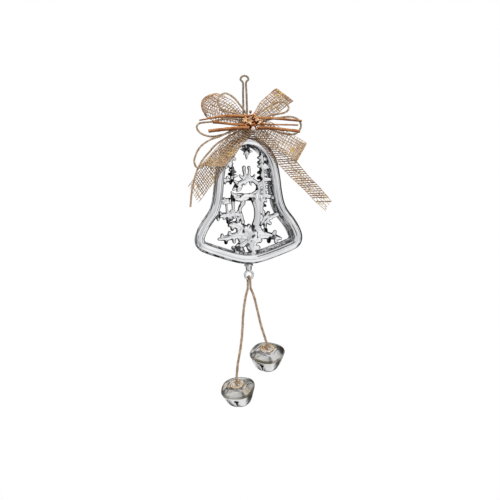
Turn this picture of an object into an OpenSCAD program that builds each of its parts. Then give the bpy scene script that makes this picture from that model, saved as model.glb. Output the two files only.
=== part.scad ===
// Christmas bell ornament: an openwork cast bell hung from a twine loop, with a
// burlap bow at its top and two jingle bells on a doubled jute string below.
// Millimetres. +Z is up, the front faces -Y, the origin is the top of the hanging loop.

/* [Bell casting] */
// half the width of the casting's mid line
rim_half_w = 40.5; // [37:0.5:44]
// depth of the casting, front to back
rim_depth = 13; // [10:0.5:16]
// radial width of the front band
rim_band = 7.2; // [6:0.2:8]
// thickness of the openwork relief
relief_t = 3.6; // [2.6:0.2:5]

/* [Eyes] */
// centre line radius of the top and bottom eyes
eye_r = 3.3; // [3:0.1:4]
// radius of the wire of an eye
eye_wire_r = 0.9; // [0.7:0.1:1]

/* [Ribbon bow] */
// ribbon width
ribbon_w = 16; // [12:0.5:19]
// ribbon thickness
ribbon_t = 0.8; // [0.5:0.1:1]

/* [Twine] */
// radius of the jute twine
twine_r = 0.9; // [0.7:0.05:1]

/* [Jingle bells] */
// outer diameter of a jingle bell
jingle_d = 28; // [24:0.5:30]
// height of a jingle bell
jingle_h = 21; // [19:0.5:23]
// wall thickness of a jingle bell
jingle_wall = 1; // [0.8:0.1:1.4]
// diameter of the loose pellet inside
pellet_d = 6; // [5:0.5:6.5]

/* [Hidden] */
$fn = 48;

steel = [0.82, 0.83, 0.85];
nickel = [0.7, 0.69, 0.66];
jute = [0.65, 0.52, 0.42];
burlap = [0.75, 0.64, 0.52];
bark = [0.66, 0.42, 0.24];

// Right half of the casting's mid line, top to bottom, as x for a half width of 40.5, z.
RIM_HALF = [
  [0, -52.6], [8.5, -54.6], [15, -60], [19, -66], [21.5, -73], [23.2, -83],
  [24.4, -94], [26.2, -103.5], [29.2, -110.5], [35.4, -119], [39.2, -126],
  [40.5, -131.5], [38.4, -136.2], [30.5, -139.8], [17, -144.4], [7, -147.1], [0, -147.8]
];
// Section of the casting: share of the band outward, share of the depth backward.
// The back leans inward, so the inner wall shows from the front.
RIM_SECTION = [
  [0.02, -0.5], [0.3, -0.46], [0.49, -0.34], [0.54, -0.15], [0.48, 0.1], [0.2, 0.42],
  [0, 0.5], [-0.64, 0.5], [-0.73, 0.46], [-0.68, 0.1], [-0.46, -0.36], [-0.3, -0.46]
];
rim_steps = 4;
relief_front = -2.6;

top_eye_z = -40.8;
bottom_eye_z = -160.6;
knot = [1, -38.5];
pin_drop = 6.6;
pin_gap = 1.35;
pin_x = 1.15;

left_pin = [-13.4, -4, -244.8];
right_pin = [12.7, -4, -217.2];
left_tilt = [36, 0, -27];
right_tilt = [34, 0, -15];
neck_len = 2.4;

function unit(v) = v / norm(v);
function spline(a, b, c, d, t) =
  0.5 * (2 * b + (c - a) * t + (2 * a - 5 * b + 4 * c - d) * t * t
  + (3 * b - a - 3 * c + d) * t * t * t);
function past_start(p) = 2 * p[0] - p[1];
function past_end(p) = 2 * p[len(p) - 1] - p[len(p) - 2];
function at(p, i) = i < 0 ? past_start(p) : i >= len(p) ? past_end(p) : p[i];
// Points of a smooth line through p, with the given number of steps between two of them.
function smooth(p, steps) = concat(
  [for (i = [0 : len(p) - 2], s = [0 : steps - 1])
    spline(at(p, i - 1), at(p, i), at(p, i + 1), at(p, i + 2), s / steps)],
  [p[len(p) - 1]]
);
function wrap(p, i) = p[(i + len(p)) % len(p)];
function smooth_closed(p, steps) = [
  for (i = [0 : len(p) - 1], s = [0 : steps - 1])
    spline(wrap(p, i - 1), wrap(p, i), wrap(p, i + 1), wrap(p, i + 2), s / steps)
];

// Side faces between rings of n points, ring after ring.
function sides(rings, n, closed) = [
  for (i = [0 : rings - (closed ? 1 : 2)], k = [0 : n - 1])
    let (j = (i + 1) % rings, m = (k + 1) % n)
    each [[i * n + k, j * n + k, j * n + m], [i * n + k, j * n + m, i * n + m]]
];

// A round cord along p. ref is any direction that the cord never runs along.
module cord(p, r, ref = [0, 1, 0], n = 8) {
  count = len(p);
  points = [for (i = [0 : count - 1])
    let (
      t = unit(p[min(i + 1, count - 1)] - p[max(i - 1, 0)]),
      a = unit(cross(t, ref)),
      b = cross(a, t)
    )
    for (k = [0 : n - 1]) p[i] + r * (cos(360 * k / n) * a + sin(360 * k / n) * b)
  ];
  caps = [
    [for (k = [0 : n - 1]) k],
    [for (k = [n - 1 : -1 : 0]) (count - 1) * n + k]
  ];
  polyhedron(points, concat(sides(count, n, false), caps));
}

// A closed round cord.
module cord_ring(p, r, ref = [0, 1, 0], n = 8) {
  count = len(p);
  points = [for (i = [0 : count - 1])
    let (
      t = unit(wrap(p, i + 1) - wrap(p, i - 1)),
      a = unit(cross(t, ref)),
      b = cross(a, t)
    )
    for (k = [0 : n - 1]) p[i] + r * (cos(360 * k / n) * a + sin(360 * k / n) * b)
  ];
  polyhedron(points, sides(count, n, true));
}

// A flat shape drawn as x, z and standing between two depths.
module slab(y0, y1) {
  translate([0, y1, 0])
    rotate([90, 0, 0])
      linear_extrude(y1 - y0)
        children();
}

// Rounded strokes through points given as x, z, radius, as thick as the relief.
module stroke(p) {
  for (i = [0 : len(p) - 1])
    translate([p[i][0], p[i][1], 0])
      cylinder(r = p[i][2], h = relief_t, $fn = 20);
  for (i = [0 : len(p) - 2]) {
    a = [p[i][0], p[i][1]];
    b = [p[i + 1][0], p[i + 1][1]];
    d = unit(b - a);
    n = 0.94 * [-d[1], d[0]];
    linear_extrude(relief_t)
      polygon([a + n * p[i][2], b + n * p[i + 1][2], b - n * p[i + 1][2], a - n * p[i][2]]);
  }
}

// Stands relief pieces up, from their x, z drawing.
module relief() {
  translate([0, relief_front + relief_t, 0])
    rotate([90, 0, 0])
      children();
}

// An eye: a wire ring whose hole runs front to back, on a stem.
module eye(z, stem_z, foot_z) {
  translate([0, 0, z])
    rotate([90, 0, 0])
      rotate_extrude()
        translate([eye_r, 0])
          circle(eye_wire_r, $fn = 24);
  translate([0, 0, min(stem_z, foot_z)])
    cylinder(r = 2.6, h = abs(stem_z - foot_z));
}

module top_eye() {
  color(steel) {
    eye(top_eye_z, top_eye_z - eye_r + 0.2, -49.6);
    translate([0, 0, -49.6])
      cylinder(r = 3.6, h = 1.6);
  }
}

module bottom_eye() {
  color(steel) {
    eye(bottom_eye_z, bottom_eye_z + eye_r - 0.2, -151);
    translate([0, 0, -153.2])
      cylinder(r = 4.1, h = 2.4);
  }
}

module bell_rim() {
  right = smooth([for (p = RIM_HALF) [p[0] * rim_half_w / 40.5, p[1]]], rim_steps);
  last = len(right) - 1;
  line = concat(right, [for (i = [last - 1 : -1 : 1]) [-right[i][0], right[i][1]]]);
  n = len(RIM_SECTION);
  points = [for (i = [0 : len(line) - 1])
    let (d = unit(wrap(line, i + 1) - wrap(line, i - 1)), out = [-d[1], d[0]])
    for (s = RIM_SECTION)
      let (q = line[i] + out * s[0] * rim_band)
      [q[0], s[1] * rim_depth, q[1]]
  ];
  color(steel)
    polyhedron(points, sides(len(line), n, true));
}

module star() {
  color(steel)
    relief() {
      stroke([[-0.6, -55.2, 1.1], [0.2, -61, 1.7], [0, -66.8, 0.6]]);
      stroke([[-4, -59.8, 0.6], [0.2, -61, 1.9], [4.4, -61.5, 0.6]]);
      stroke([[-2.4, -58, 0.6], [0.2, -61, 1.6], [2.4, -58.4, 0.6]]);
    }
}

module reindeer() {
  color(steel)
    relief() {
      stroke([[-11.4, -97.4, 2.4], [-7, -98, 3], [0, -97.8, 2.9], [6.8, -97.8, 3.7]]);
      stroke([[6.8, -97.4, 3.4], [9.2, -92, 2.1], [8.6, -88.2, 1.7], [5.6, -85.4, 1.5],
        [2, -84.4, 1.4], [-1.6, -85, 1.6], [-5, -86.4, 1.8]]);
      stroke([[-5, -86.6, 1.7], [-7.8, -88.4, 2.6], [-9.6, -90.2, 1.8], [-11.4, -91.6, 0.9]]);
      stroke([[-7.6, -87.4, 1.6], [-9.8, -85.6, 1.2], [-11.4, -84.4, 0.6]]);
      stroke([[-5.6, -89, 1.6], [-6.4, -91.4, 1.2], [-8.2, -93, 0.6]]);
      stroke([[-2.2, -74.4, 1.3], [-2.2, -77, 1.2], [-1.5, -80.4, 1.1], [-0.4, -84.4, 1.2]]);
      stroke([[-1.6, -80.4, 1.1], [-3, -82.2, 1.1], [-5, -81.6, 0.9], [-5.9, -80.6, 0.7]]);
      stroke([[1.7, -74.6, 1.2], [2, -77, 1], [1.7, -80, 1.1], [0.9, -84.4, 1.2]]);
      stroke([[1.6, -80.8, 1], [3.4, -82.6, 1.1], [5.2, -82, 0.9], [6, -80.8, 0.7]]);
      stroke([[-1.5, -85.4, 1], [-1.2, -87, 0.8], [-2, -88, 0.6]]);
      stroke([[3.2, -85.6, 0.9], [2.7, -87.2, 0.8], [3.3, -88.2, 0.6]]);
      stroke([[-11.4, -98.2, 2.1], [-12, -102, 1.4], [-11.8, -108, 1.2], [-11.2, -112, 1.5]]);
      stroke([[-4.8, -99, 2.1], [-4, -102.4, 1.5], [-6.4, -106.4, 1.3], [-6.2, -110.4, 1.4],
        [-4.6, -117.4, 1.8]]);
      stroke([[6.8, -99.4, 3.4], [8, -105, 3], [8.4, -110, 2.8], [8, -116, 3], [6.8, -121, 3.3]]);
    }
}

module large_snowflake() {
  color(steel)
    relief() {
      stroke([[7, -122, 3.6], [5, -127, 4.6], [3.4, -132, 4.4], [2, -137, 3.4],
        [4, -142, 3], [5.2, -146.4, 2.8]]);
      stroke([[1.8, -129, 3.2], [-4, -128.6, 2.4], [-10, -128.4, 2.2], [-17, -129.8, 1.8],
        [-24.2, -131, 0.9]]);
      stroke([[5, -129.2, 3], [10, -128.6, 2.6], [16, -129.2, 2.4], [21.6, -130.6, 1.9],
        [26.8, -132.2, 0.9]]);
      stroke([[2.2, -127, 3], [-3, -123.4, 2.8], [-8.4, -120.2, 2.7], [-13, -119.2, 2.2],
        [-16.4, -120.2, 1.3]]);
      stroke([[0.6, -133, 2.8], [-4.6, -135.4, 2.5], [-8.2, -138, 2.4], [-9.6, -142.6, 2.2],
        [-10.6, -146.2, 2]]);
      for (lobe = [[-7, -128.2, -6, -125.2], [-9, -128.8, -10, -132], [-13.4, -129, -12.6, -126],
          [-16, -129.8, -17.2, -132.8], [-20, -130.4, -19.2, -127.8], [10.2, -129, 11.2, -132.6],
          [13.4, -128.8, 14.6, -125.4], [17.6, -129.8, 17, -133.4], [21, -130.2, 22, -127.4],
          [-8, -120.4, -10.6, -123.4], [-12, -119.6, -13.8, -116.4], [-6.4, -137, -3.8, -139.4],
          [-9, -140.4, -12.6, -141.8], [6.2, -134, 8.6, -136.8], [5, -141.6, 8.4, -142.8]])
        stroke([[lobe[0], lobe[1], 1.7], [lobe[2], lobe[3], 1.1]]);
      stroke([[-8.8, -119.6, 1.9], [-8, -115, 1.4], [-5.4, -113.6, 1.2]]);
    }
}

module left_snowflake() {
  color(steel)
    relief() {
      stroke([[-28, -112.4, 1.8], [-24.2, -113, 1.5], [-20, -111.6, 1.7],
        [-16.4, -112.6, 1.9], [-12, -111.4, 1.6], [-6.8, -112, 1.2]]);
      for (x = [-24, -20, -12.6])
        stroke([[x, -112, 1.3], [x - 0.6, -108.8, 0.9]]);
      stroke([[-17, -111.4, 1.5], [-16.2, -117.2, 1.6]]);
      stroke([[-17, -110.4, 0.9], [-17.5, -105, 0.8], [-17.2, -100.8, 1.7]]);
      stroke([[-14.8, -99, 0.7], [-17.2, -100.8, 1.5], [-19.8, -102.4, 0.7]]);
      stroke([[-17.4, -101, 1], [-23.6, -99.6, 0.8]]);
    }
}

module right_snowflake() {
  color(steel)
    relief()
      translate([13.4, -116]) {
        cylinder(r = 3.1, h = relief_t);
        for (k = [0 : 7])
          rotate(k * 45)
            stroke([[1.6, 0, 1], [5.8, 0, 1.5]]);
        stroke([[5.2, 1.4, 1.3], [11, 3.4, 1.6]]);
      }
}

module left_garland() {
  color(steel)
    relief() {
      stroke([[-20.8, -71.2, 1.3], [-16, -71.4, 1.9], [-11.8, -72.2, 1.5], [-11.8, -77.4, 1.3],
        [-12.4, -83.8, 1.5], [-20.8, -83.4, 1.3]]);
      stroke([[-14.4, -71, 1.8], [-12.8, -67.8, 1.8], [-10.2, -65.6, 0.7]]);
      stroke([[-12.8, -68.2, 1.4], [-7.4, -69, 0.8]]);
      stroke([[-16, -71.6, 1.3], [-16.8, -74.6, 0.9]]);
      stroke([[-12, -75, 1.2], [-14.6, -76.2, 0.8]]);
      stroke([[-11.8, -78, 1.2], [-8.4, -79.6, 0.9]]);
      stroke([[-12.6, -84, 1.3], [-10.6, -87, 0.9]]);
      stroke([[-16, -83.6, 1.2], [-16.6, -86.4, 0.8]]);
    }
}

module right_garland() {
  color(steel)
    relief() {
      stroke([[12.4, -63.6, 1.4], [13, -69, 2.6], [13, -78, 2.7], [13, -85, 2.4],
        [14.2, -90, 1.4], [13.8, -97.6, 1.8], [11, -103, 1.8], [10.6, -109.6, 1.6]]);
      stroke([[13, -87, 1.5], [9.6, -90, 1.1], [9.8, -96, 1.4], [11.4, -99.6, 1.4]]);
      for (z = [-67.4, -74, -80.2])
        stroke([[12, z - 0.8, 1.4], [8.8, z, 0.8]]);
      stroke([[13.6, -98.4, 1.6], [18, -98, 1.8], [23, -99.8, 1.4]]);
      stroke([[14, -74, 1.8], [20, -74.4, 1.5]]);
      stroke([[14, -84, 1.6], [21.4, -84.6, 1.5]]);
      stroke([[13.4, -98.2, 1.3], [15.6, -102, 0.9]]);
      stroke([[11.4, -102.8, 1.3], [8.2, -104.2, 0.8]]);
    }
}

// Outline of a ribbon loop in length and depth: out along the front, back along the rear.
function loop_line(length, belly) = [for (i = [0 : 28])
  let (a = 12 + 12 * i, u = length * (1 - cos(a)) / 2)
  [u, belly * sin(a) * sqrt(max(u, 0.01) / length)]
];
function band(line, t) =
  let (
    last = len(line) - 1,
    out = [for (i = [0 : last])
      let (d = unit(line[min(i + 1, last)] - line[max(i - 1, 0)]))
      line[i] + t * [-d[1], d[0]]]
  )
  concat(line, [for (i = [last : -1 : 0]) out[i]]);

// The gathered width of the ribbon, narrow at the knot.
module gather(length) {
  polygon([[0, -3], [0, 3], [length * 0.45, ribbon_w / 2], [length + 3, ribbon_w / 2],
    [length + 3, -ribbon_w / 2], [length * 0.45, -ribbon_w / 2]]);
}

// Puts something that runs along +X, flat to the front, at the knot and turns it.
module from_knot(angle, start, y) {
  translate([knot[0], y, knot[1]])
    rotate([0, -angle, 0])
      translate([start, 0, 0])
        children();
}

module ribbon_loop(angle, length, belly, y) {
  color(burlap)
    from_knot(angle, 4, y)
      intersection() {
        translate([0, 0, -ribbon_w / 2])
          linear_extrude(ribbon_w)
            polygon(band(loop_line(length - 4, belly), ribbon_t));
        slab(-belly - 2, belly + 2)
          gather(length - 4);
      }
}

module ribbon_tail(angle, length, y, cut) {
  color(burlap)
    from_knot(angle, 4, y)
      slab(-ribbon_t / 2, ribbon_t / 2)
        polygon([[0, -3], [0, 3], [length * 0.4, ribbon_w / 2 - 1],
          [length - 4 + cut, ribbon_w / 2 - 2], [length - 4 - cut, 2 - ribbon_w / 2],
          [length * 0.4, 1 - ribbon_w / 2]]);
}

module ribbon_upper_left() {
  ribbon_loop(157, 43, 4, -10);
}

module ribbon_upper_right() {
  ribbon_loop(36, 36, 4, -10);
}

module ribbon_lower_left() {
  ribbon_loop(225, 47, 2.9, -12.2);
}

module ribbon_lower_right() {
  ribbon_loop(-31, 49, 2.9, -12.2);
}

module ribbon_tail_left() {
  ribbon_tail(230, 74, -7.8, -2);
}

module ribbon_tail_right() {
  ribbon_tail(-47, 91, -7.8, 2);
}

module bow_binding() {
  color(jute) {
    translate([knot[0], -4.4, knot[1]])
      rotate([90, 0, 0])
        cylinder(r = 6.2, h = 14.4);
    translate([0, 0, -45.4])
      rotate_extrude()
        translate([3.4, 0])
          circle(1.2, $fn = 20);
    translate([0, 0, -44])
      rotate([90, 0, 0])
        cylinder(r = 1.6, h = 5);
  }
}

// Bow twine lies flat, in front of the ribbon. Points are x, z.
module bow_twine(p, steps, y = -17) {
  color(jute)
    cord([for (q = smooth(p, steps)) [q[0], y, q[1]]], twine_r);
}

module twine_upper_left() {
  bow_twine([[-1.6, -34.2], [-8, -25], [-14, -18], [-21, -14.6], [-26.5, -19], [-24, -27],
    [-13, -30.8], [-4.2, -34.4]], 2);
}

module twine_upper_right() {
  bow_twine([[3.4, -34], [9, -29.6], [15, -25.8], [22, -22.8], [28, -22.8], [31.4, -27.2],
    [28, -31], [16, -33], [6.2, -36.2]], 2);
}

module twine_side_left() {
  bow_twine([[-3.6, -38], [-12, -35.2], [-22, -35], [-32, -36.8], [-42, -37.8], [-44.4, -41.4],
    [-40.6, -46.2], [-32, -48.6], [-20, -46.4], [-10, -42.4], [-3.4, -40.4]], 2);
}

module twine_side_right() {
  bow_twine([[6, -39.4], [14, -36.6], [24, -34.9], [33, -34.5], [39, -36.8], [41.4, -41.6],
    [39, -46.6], [33.6, -48.6], [22, -46.4], [12, -42.6], [5.4, -40.8]], 2);
}

module twine_lower_left() {
  bow_twine([[-2.6, -41.2], [-12, -42.6], [-26, -48.4], [-35, -51.4], [-43, -57], [-47.4, -65.4],
    [-46.8, -71.4], [-43.2, -73], [-40, -70.6]], 2, -19.2);
}

module twine_tail_left() {
  bow_twine([[-2.4, -42.4], [-14, -46.6], [-27.6, -54], [-35, -61], [-41, -68], [-45.4, -76],
    [-48.6, -86], [-50.2, -95], [-51.2, -103.8]], 2);
}

// A twig between two ends given as x, y, z, thicker at its first end.
module twig(a, b, ra, rb) {
  d = b - a;
  color(bark)
    translate(a)
      rotate([0, acos(d[2] / norm(d)), atan2(d[1], d[0])])
        cylinder(r1 = ra, r2 = rb, h = norm(d), $fn = 20);
}

module twig_left_top() {
  twig([-3, -20.4, -34.4], [-42, -20.4, -34.2], 1.3, 0.7);
}

module twig_left_middle() {
  twig([-4, -20.4, -39.4], [-32, -20.4, -37.4], 1.2, 1);
}

module twig_left_low() {
  twig([-3.6, -22, -42.6], [-36, -22, -43.4], 1.4, 1.3);
}

module twig_right_top() {
  twig([5.6, -20.4, -35.4], [41, -20.4, -38], 1.1, 0.9);
}

module twig_right_middle() {
  twig([6, -20.4, -39.8], [38, -20.4, -41], 0.7, 0.6);
}

module twig_right_low() {
  twig([4.6, -21.4, -43], [39, -21.4, -46.2], 1.3, 1.1);
}

module dried_flower() {
  color(bark)
    translate([-0.4, -18.8, -37.6]) {
      rotate([90, 0, 0])
        cylinder(r1 = 5.2, r2 = 4.2, h = 2.6);
      translate([0, -2.6, 0])
        sphere(3);
    }
}

module seed_husks() {
  color([0.85, 0.73, 0.58])
    for (p = [[-6.4, -36, 1.7], [-5.2, -40.2, 1.6], [4.6, -34.8, 1.9], [6, -40, 1.8],
      [-0.6, -30.8, 1.7], [-3.2, -44.4, 1.5], [3.8, -44, 1.5]])
      translate([p[0], -19.6, p[1]])
        sphere(p[2], $fn = 24);
}

module pale_seed() {
  color([0.9, 0.82, 0.7])
    translate([0.4, -21.4, -43.6])
      sphere(2, $fn = 24);
}

bend = eye_wire_r + 0.5 + twine_r;
hang_bend = eye_wire_r + twine_r - 0.1;
bight_z = bottom_eye_z - eye_r;
pin_z = bight_z - pin_drop;
hang_z = top_eye_z + eye_r;

// The hanging twine runs over the top wall of the top eye and closes above in a small bend.
module hanging_loop() {
  back = [[-1, 1.2, -6.6], [-1.1, 1.3, -16], [-1.1, 1.5, -26], [-0.9, hang_bend, -34.4]];
  front = [[0.9, -hang_bend, -34.4], [1.1, -1.5, -26], [1.1, -1.3, -16], [1, -1.2, -6.6]];
  under = [for (a = [20, 60, 90, 120, 160])
    [0.7 - 1.4 * (180 - a) / 180, hang_bend * cos(a), hang_z - hang_bend * sin(a)]];
  over = [for (a = [0, 45, 90, 135, 180])
    [3 * cos(a), -1.2 * cos(a), -twine_r - 3.2 + 3.2 * sin(a)]];
  color(jute)
    cord_ring(smooth_closed(concat(back, under, front, over), 1), twine_r, [1, 0.3, 0], 8);
}

// The string's fold around the bottom wall of the bottom eye, down to its two pins.
module string_bight() {
  over = [for (a = [0, 30, 60, 90, 120, 150, 180])
    [0.6 - a / 150, -bend * cos(a), bight_z + bend * sin(a)]];
  left_leg = [[-0.95, 1.9, bight_z - 2.2], [-1.15, 0.8, bight_z - 4.6], [-pin_x, 0, pin_z]];
  right_leg = [[pin_x, 0, pin_z], [1.15, -0.8, bight_z - 4.6], [0.95, -1.9, bight_z - 2.2]];
  color(jute)
    cord(concat(right_leg, over, left_leg), twine_r, [1, 0, 0]);
}

module left_string() {
  p = [[-pin_x - 0.3, 0, pin_z - pin_gap], [-3.4, -0.4, -179], [-5.7, -1, -192],
    [-7, -1.8, -206], [-9, -2.6, -219], [-11.8, -3.4, -232], left_pin + [0, 0, pin_gap]];
  color(jute)
    cord(smooth(p, 3), twine_r);
}

module right_string() {
  p = [[pin_x + 0.3, 0, pin_z - pin_gap], [3.6, -0.6, -178], [6.1, -1.8, -190],
    [8.6, -2.8, -202], right_pin + [0, 0, pin_gap]];
  color(jute)
    cord(smooth(p, 3), twine_r);
}

// Height of the crease between a jingle bell's two shells, above the bell's middle.
crease_z = 4.5;
cap_h = jingle_h / 2 - crease_z;
cup_h = jingle_h / 2 + crease_z - 0.4;

// Half outline of the shallow domed cap, from its edge to the axis.
function dome_line(r, h) = [for (i = [0 : 16])
  let (a = 90 * i / 16)
  [r * pow(cos(a), 0.9), crease_z + h * pow(sin(a), 0.92)]
];

// Half outline of the tapering cup, as shares of its radius and of its depth.
CUP_HALF = [[1, 0], [0.985, 0.15], [0.93, 0.38], [0.83, 0.62], [0.7, 0.8], [0.5, 0.93],
  [0.25, 0.99], [0, 1]];
function cup_line(r, h) = [for (p = smooth(CUP_HALF, 3))
  [r * max(p[0], 0), crease_z - 0.4 - h * p[1]]
];
function backward(line) = [for (i = [len(line) - 1 : -1 : 0]) line[i]];

// The bell's own frame: the pin is the origin and the bell hangs below along -Z.
module hung(pin, tilt) {
  translate(pin)
    rotate(tilt)
      translate([0, 0, -neck_len - jingle_h / 2])
        children();
}

crater_r = 4.2;

module bell_cap() {
  color(nickel) {
    difference() {
      rotate_extrude()
        polygon(concat(dome_line(jingle_d / 2, cap_h),
          backward(dome_line(jingle_d / 2 - jingle_wall, cap_h - jingle_wall))));
      translate([0, 0, jingle_h / 2 - 1.6])
        cylinder(r = crater_r, h = 4);
    }
    translate([0, 0, jingle_h / 2 - 2.4])
      difference() {
        cylinder(r = crater_r + 0.7, h = 1.8);
        translate([0, 0, 0.8])
          cylinder(r = crater_r - 0.1, h = 2);
        translate([0, 0, -1])
          cylinder(r = 1.5, h = 4);
      }
    translate([0, 0, crease_z - 0.4])
      difference() {
        cylinder(r = jingle_d / 2 + 0.5, h = 0.4);
        translate([0, 0, -1])
          cylinder(r = jingle_d / 2 - 0.9, h = 4);
      }
  }
}

module bell_cup() {
  color(nickel)
    difference() {
      rotate_extrude()
        polygon(concat(cup_line(jingle_d / 2, cup_h),
          backward(cup_line(jingle_d / 2 - jingle_wall, cup_h - jingle_wall))));
      for (a = [0, 90])
        rotate(a) {
          translate([-0.8, -jingle_d, -jingle_h])
            cube([1.6, 2 * jingle_d, jingle_h]);
          translate([0, 0, 0.3])
            rotate([90, 0, 0])
              cylinder(r = 1.7, h = 2 * jingle_d, center = true);
        }
    }
}

module bell_glue() {
  color([0.8, 0.62, 0.38])
    translate([0, 0, jingle_h / 2 - 1.6])
      difference() {
        cylinder(r1 = 3.7, r2 = 2.4, h = 1);
        translate([0, 0, -1])
          cylinder(r = 1.5, h = 4);
      }
}

module bell_knot() {
  color(jute) {
    translate([0, 0, jingle_h / 2 + neck_len])
      sphere(1, $fn = 24);
    translate([0, 0, jingle_h / 2 + 0.3])
      sphere(2.1, $fn = 28);
    translate([0, 0, jingle_h / 2 - 3.4])
      cylinder(r = 1.4, h = 5, $fn = 24);
    translate([0, 0, jingle_h / 2 - 3.9])
      sphere(1.9, $fn = 28);
  }
}

module bell_pellet() {
  color([0.5, 0.48, 0.44])
    translate([0, 0, -jingle_h / 2 + jingle_wall + 0.5 + pellet_d / 2])
      sphere(pellet_d / 2);
}

module left_bell_cap() {
  hung(left_pin, left_tilt) bell_cap();
}

module left_bell_cup() {
  hung(left_pin, left_tilt) bell_cup();
}

module left_bell_glue() {
  hung(left_pin, left_tilt) bell_glue();
}

module left_bell_knot() {
  hung(left_pin, left_tilt) bell_knot();
}

module left_bell_pellet() {
  hung(left_pin, left_tilt) bell_pellet();
}

module right_bell_cap() {
  hung(right_pin, right_tilt) bell_cap();
}

module right_bell_cup() {
  hung(right_pin, right_tilt)
    rotate(-24)
      bell_cup();
}

module right_bell_glue() {
  hung(right_pin, right_tilt) bell_glue();
}

module right_bell_knot() {
  hung(right_pin, right_tilt) bell_knot();
}

module right_bell_pellet() {
  hung(right_pin, right_tilt) bell_pellet();
}

hanging_loop();
top_eye();
bell_rim();
star();
reindeer();
large_snowflake();
left_snowflake();
right_snowflake();
left_garland();
right_garland();
bottom_eye();
ribbon_upper_left();
ribbon_upper_right();
ribbon_lower_left();
ribbon_lower_right();
ribbon_tail_left();
ribbon_tail_right();
bow_binding();
twine_upper_left();
twine_upper_right();
twine_side_left();
twine_side_right();
twine_lower_left();
twine_tail_left();
twig_left_top();
twig_left_middle();
twig_left_low();
twig_right_top();
twig_right_middle();
twig_right_low();
dried_flower();
seed_husks();
pale_seed();
string_bight();
left_string();
right_string();
left_bell_cap();
left_bell_cup();
left_bell_glue();
left_bell_knot();
left_bell_pellet();
right_bell_cap();
right_bell_cup();
right_bell_glue();
right_bell_knot();
right_bell_pellet();
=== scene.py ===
import math
import random

import bmesh
import bpy
import numpy as np
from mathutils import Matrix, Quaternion, Vector


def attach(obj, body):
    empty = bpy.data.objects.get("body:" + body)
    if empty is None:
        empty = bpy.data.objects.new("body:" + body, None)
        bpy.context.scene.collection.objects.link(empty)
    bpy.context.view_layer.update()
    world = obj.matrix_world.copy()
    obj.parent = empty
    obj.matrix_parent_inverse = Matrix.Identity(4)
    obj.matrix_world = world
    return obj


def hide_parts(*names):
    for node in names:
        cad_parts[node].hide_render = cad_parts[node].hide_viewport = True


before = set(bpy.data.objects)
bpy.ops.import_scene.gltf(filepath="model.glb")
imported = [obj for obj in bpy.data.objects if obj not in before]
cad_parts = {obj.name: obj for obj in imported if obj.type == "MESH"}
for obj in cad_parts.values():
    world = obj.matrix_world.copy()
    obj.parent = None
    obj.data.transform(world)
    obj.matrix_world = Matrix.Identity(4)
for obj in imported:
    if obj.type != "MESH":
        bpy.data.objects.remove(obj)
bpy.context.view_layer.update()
MM = 0.001
scene = bpy.context.scene

# ---------------------------------------------------------------- camera

AZIMUTH, ELEVATION, ROLL = -15, 3, 1.3
DISTANCE, VIEW_W, SENSOR_W = 2.4, 0.4, 36
AIM = Vector((-0.6, -7.5, -140.2)) * MM


def around(azimuth, elevation):
    """The direction from the object at some degrees from its front and up from level."""
    a, e = math.radians(azimuth), math.radians(elevation)
    return math.sin(a) * math.cos(e), -math.cos(a) * math.cos(e), math.sin(e)


back = Vector(around(AZIMUTH, ELEVATION))
cam_data = bpy.data.cameras.new("camera")
cam_data.sensor_width = SENSOR_W
cam_data.lens = SENSOR_W * DISTANCE / VIEW_W
cam_data.clip_start, cam_data.clip_end = 0.1, 20
camera = bpy.data.objects.new("camera", cam_data)
scene.collection.objects.link(camera)
scene.camera = camera
camera.rotation_mode = "QUATERNION"
camera.location = AIM + back * DISTANCE
roll = Quaternion(back, -math.radians(ROLL))
camera.rotation_quaternion = roll @ (-back).to_track_quat("-Z", "Y")


# ---------------------------------------------------------------- numbers and lines

def unit(v):
    """The same direction, one long."""
    v = np.asarray(v, float)
    return v / max(np.linalg.norm(v), 1e-9)


def spline(points, per=8, closed=False):
    """A smooth line through the points, with per steps to each span."""
    p = np.asarray(points, float)
    if closed:
        p = np.vstack([p[-1:], p, p[:2]])
    else:
        p = np.vstack([2 * p[:1] - p[1:2], p, 2 * p[-1:] - p[-2:-1]])
    t = np.arange(per)[:, None] / per
    out = [0.5 * (2 * b + (c - a) * t + (2 * a - 5 * b + 4 * c - d) * t ** 2
                  + (3 * b - a - 3 * c + d) * t ** 3)
           for a, b, c, d in zip(p, p[1:], p[2:], p[3:])]
    return np.vstack(out if closed else out + [p[-2:-1]])


def even(line, step):
    """The same line with points an even step apart."""
    gaps = np.linalg.norm(np.diff(line, axis=0), axis=1)
    run = np.concatenate([[0], np.cumsum(gaps)])
    n = max(2, int(round(run[-1] / step)) + 1)
    s = np.linspace(0, run[-1], n)
    return np.stack([np.interp(s, run, line[:, k]) for k in range(line.shape[1])], axis=1)


def length_of(line):
    """How long a line of points is."""
    return float(np.linalg.norm(np.diff(line, axis=0), axis=1).sum())


def carried_frames(line):
    """Tangent and two normals along a line, with no twist of their own."""
    t = np.gradient(line, axis=0)
    t /= np.maximum(np.linalg.norm(t, axis=1, keepdims=True), 1e-9)
    a = np.array([0.3, 1, 0.2])
    u = np.zeros_like(t)
    for i in range(len(t)):
        a = a - t[i] * a.dot(t[i])
        if np.linalg.norm(a) < 1e-6:
            a = np.cross(t[i], (0.1, 0.2, 1))
        a = unit(a)
        u[i] = a
    return t, u, np.cross(t, u)


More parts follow.
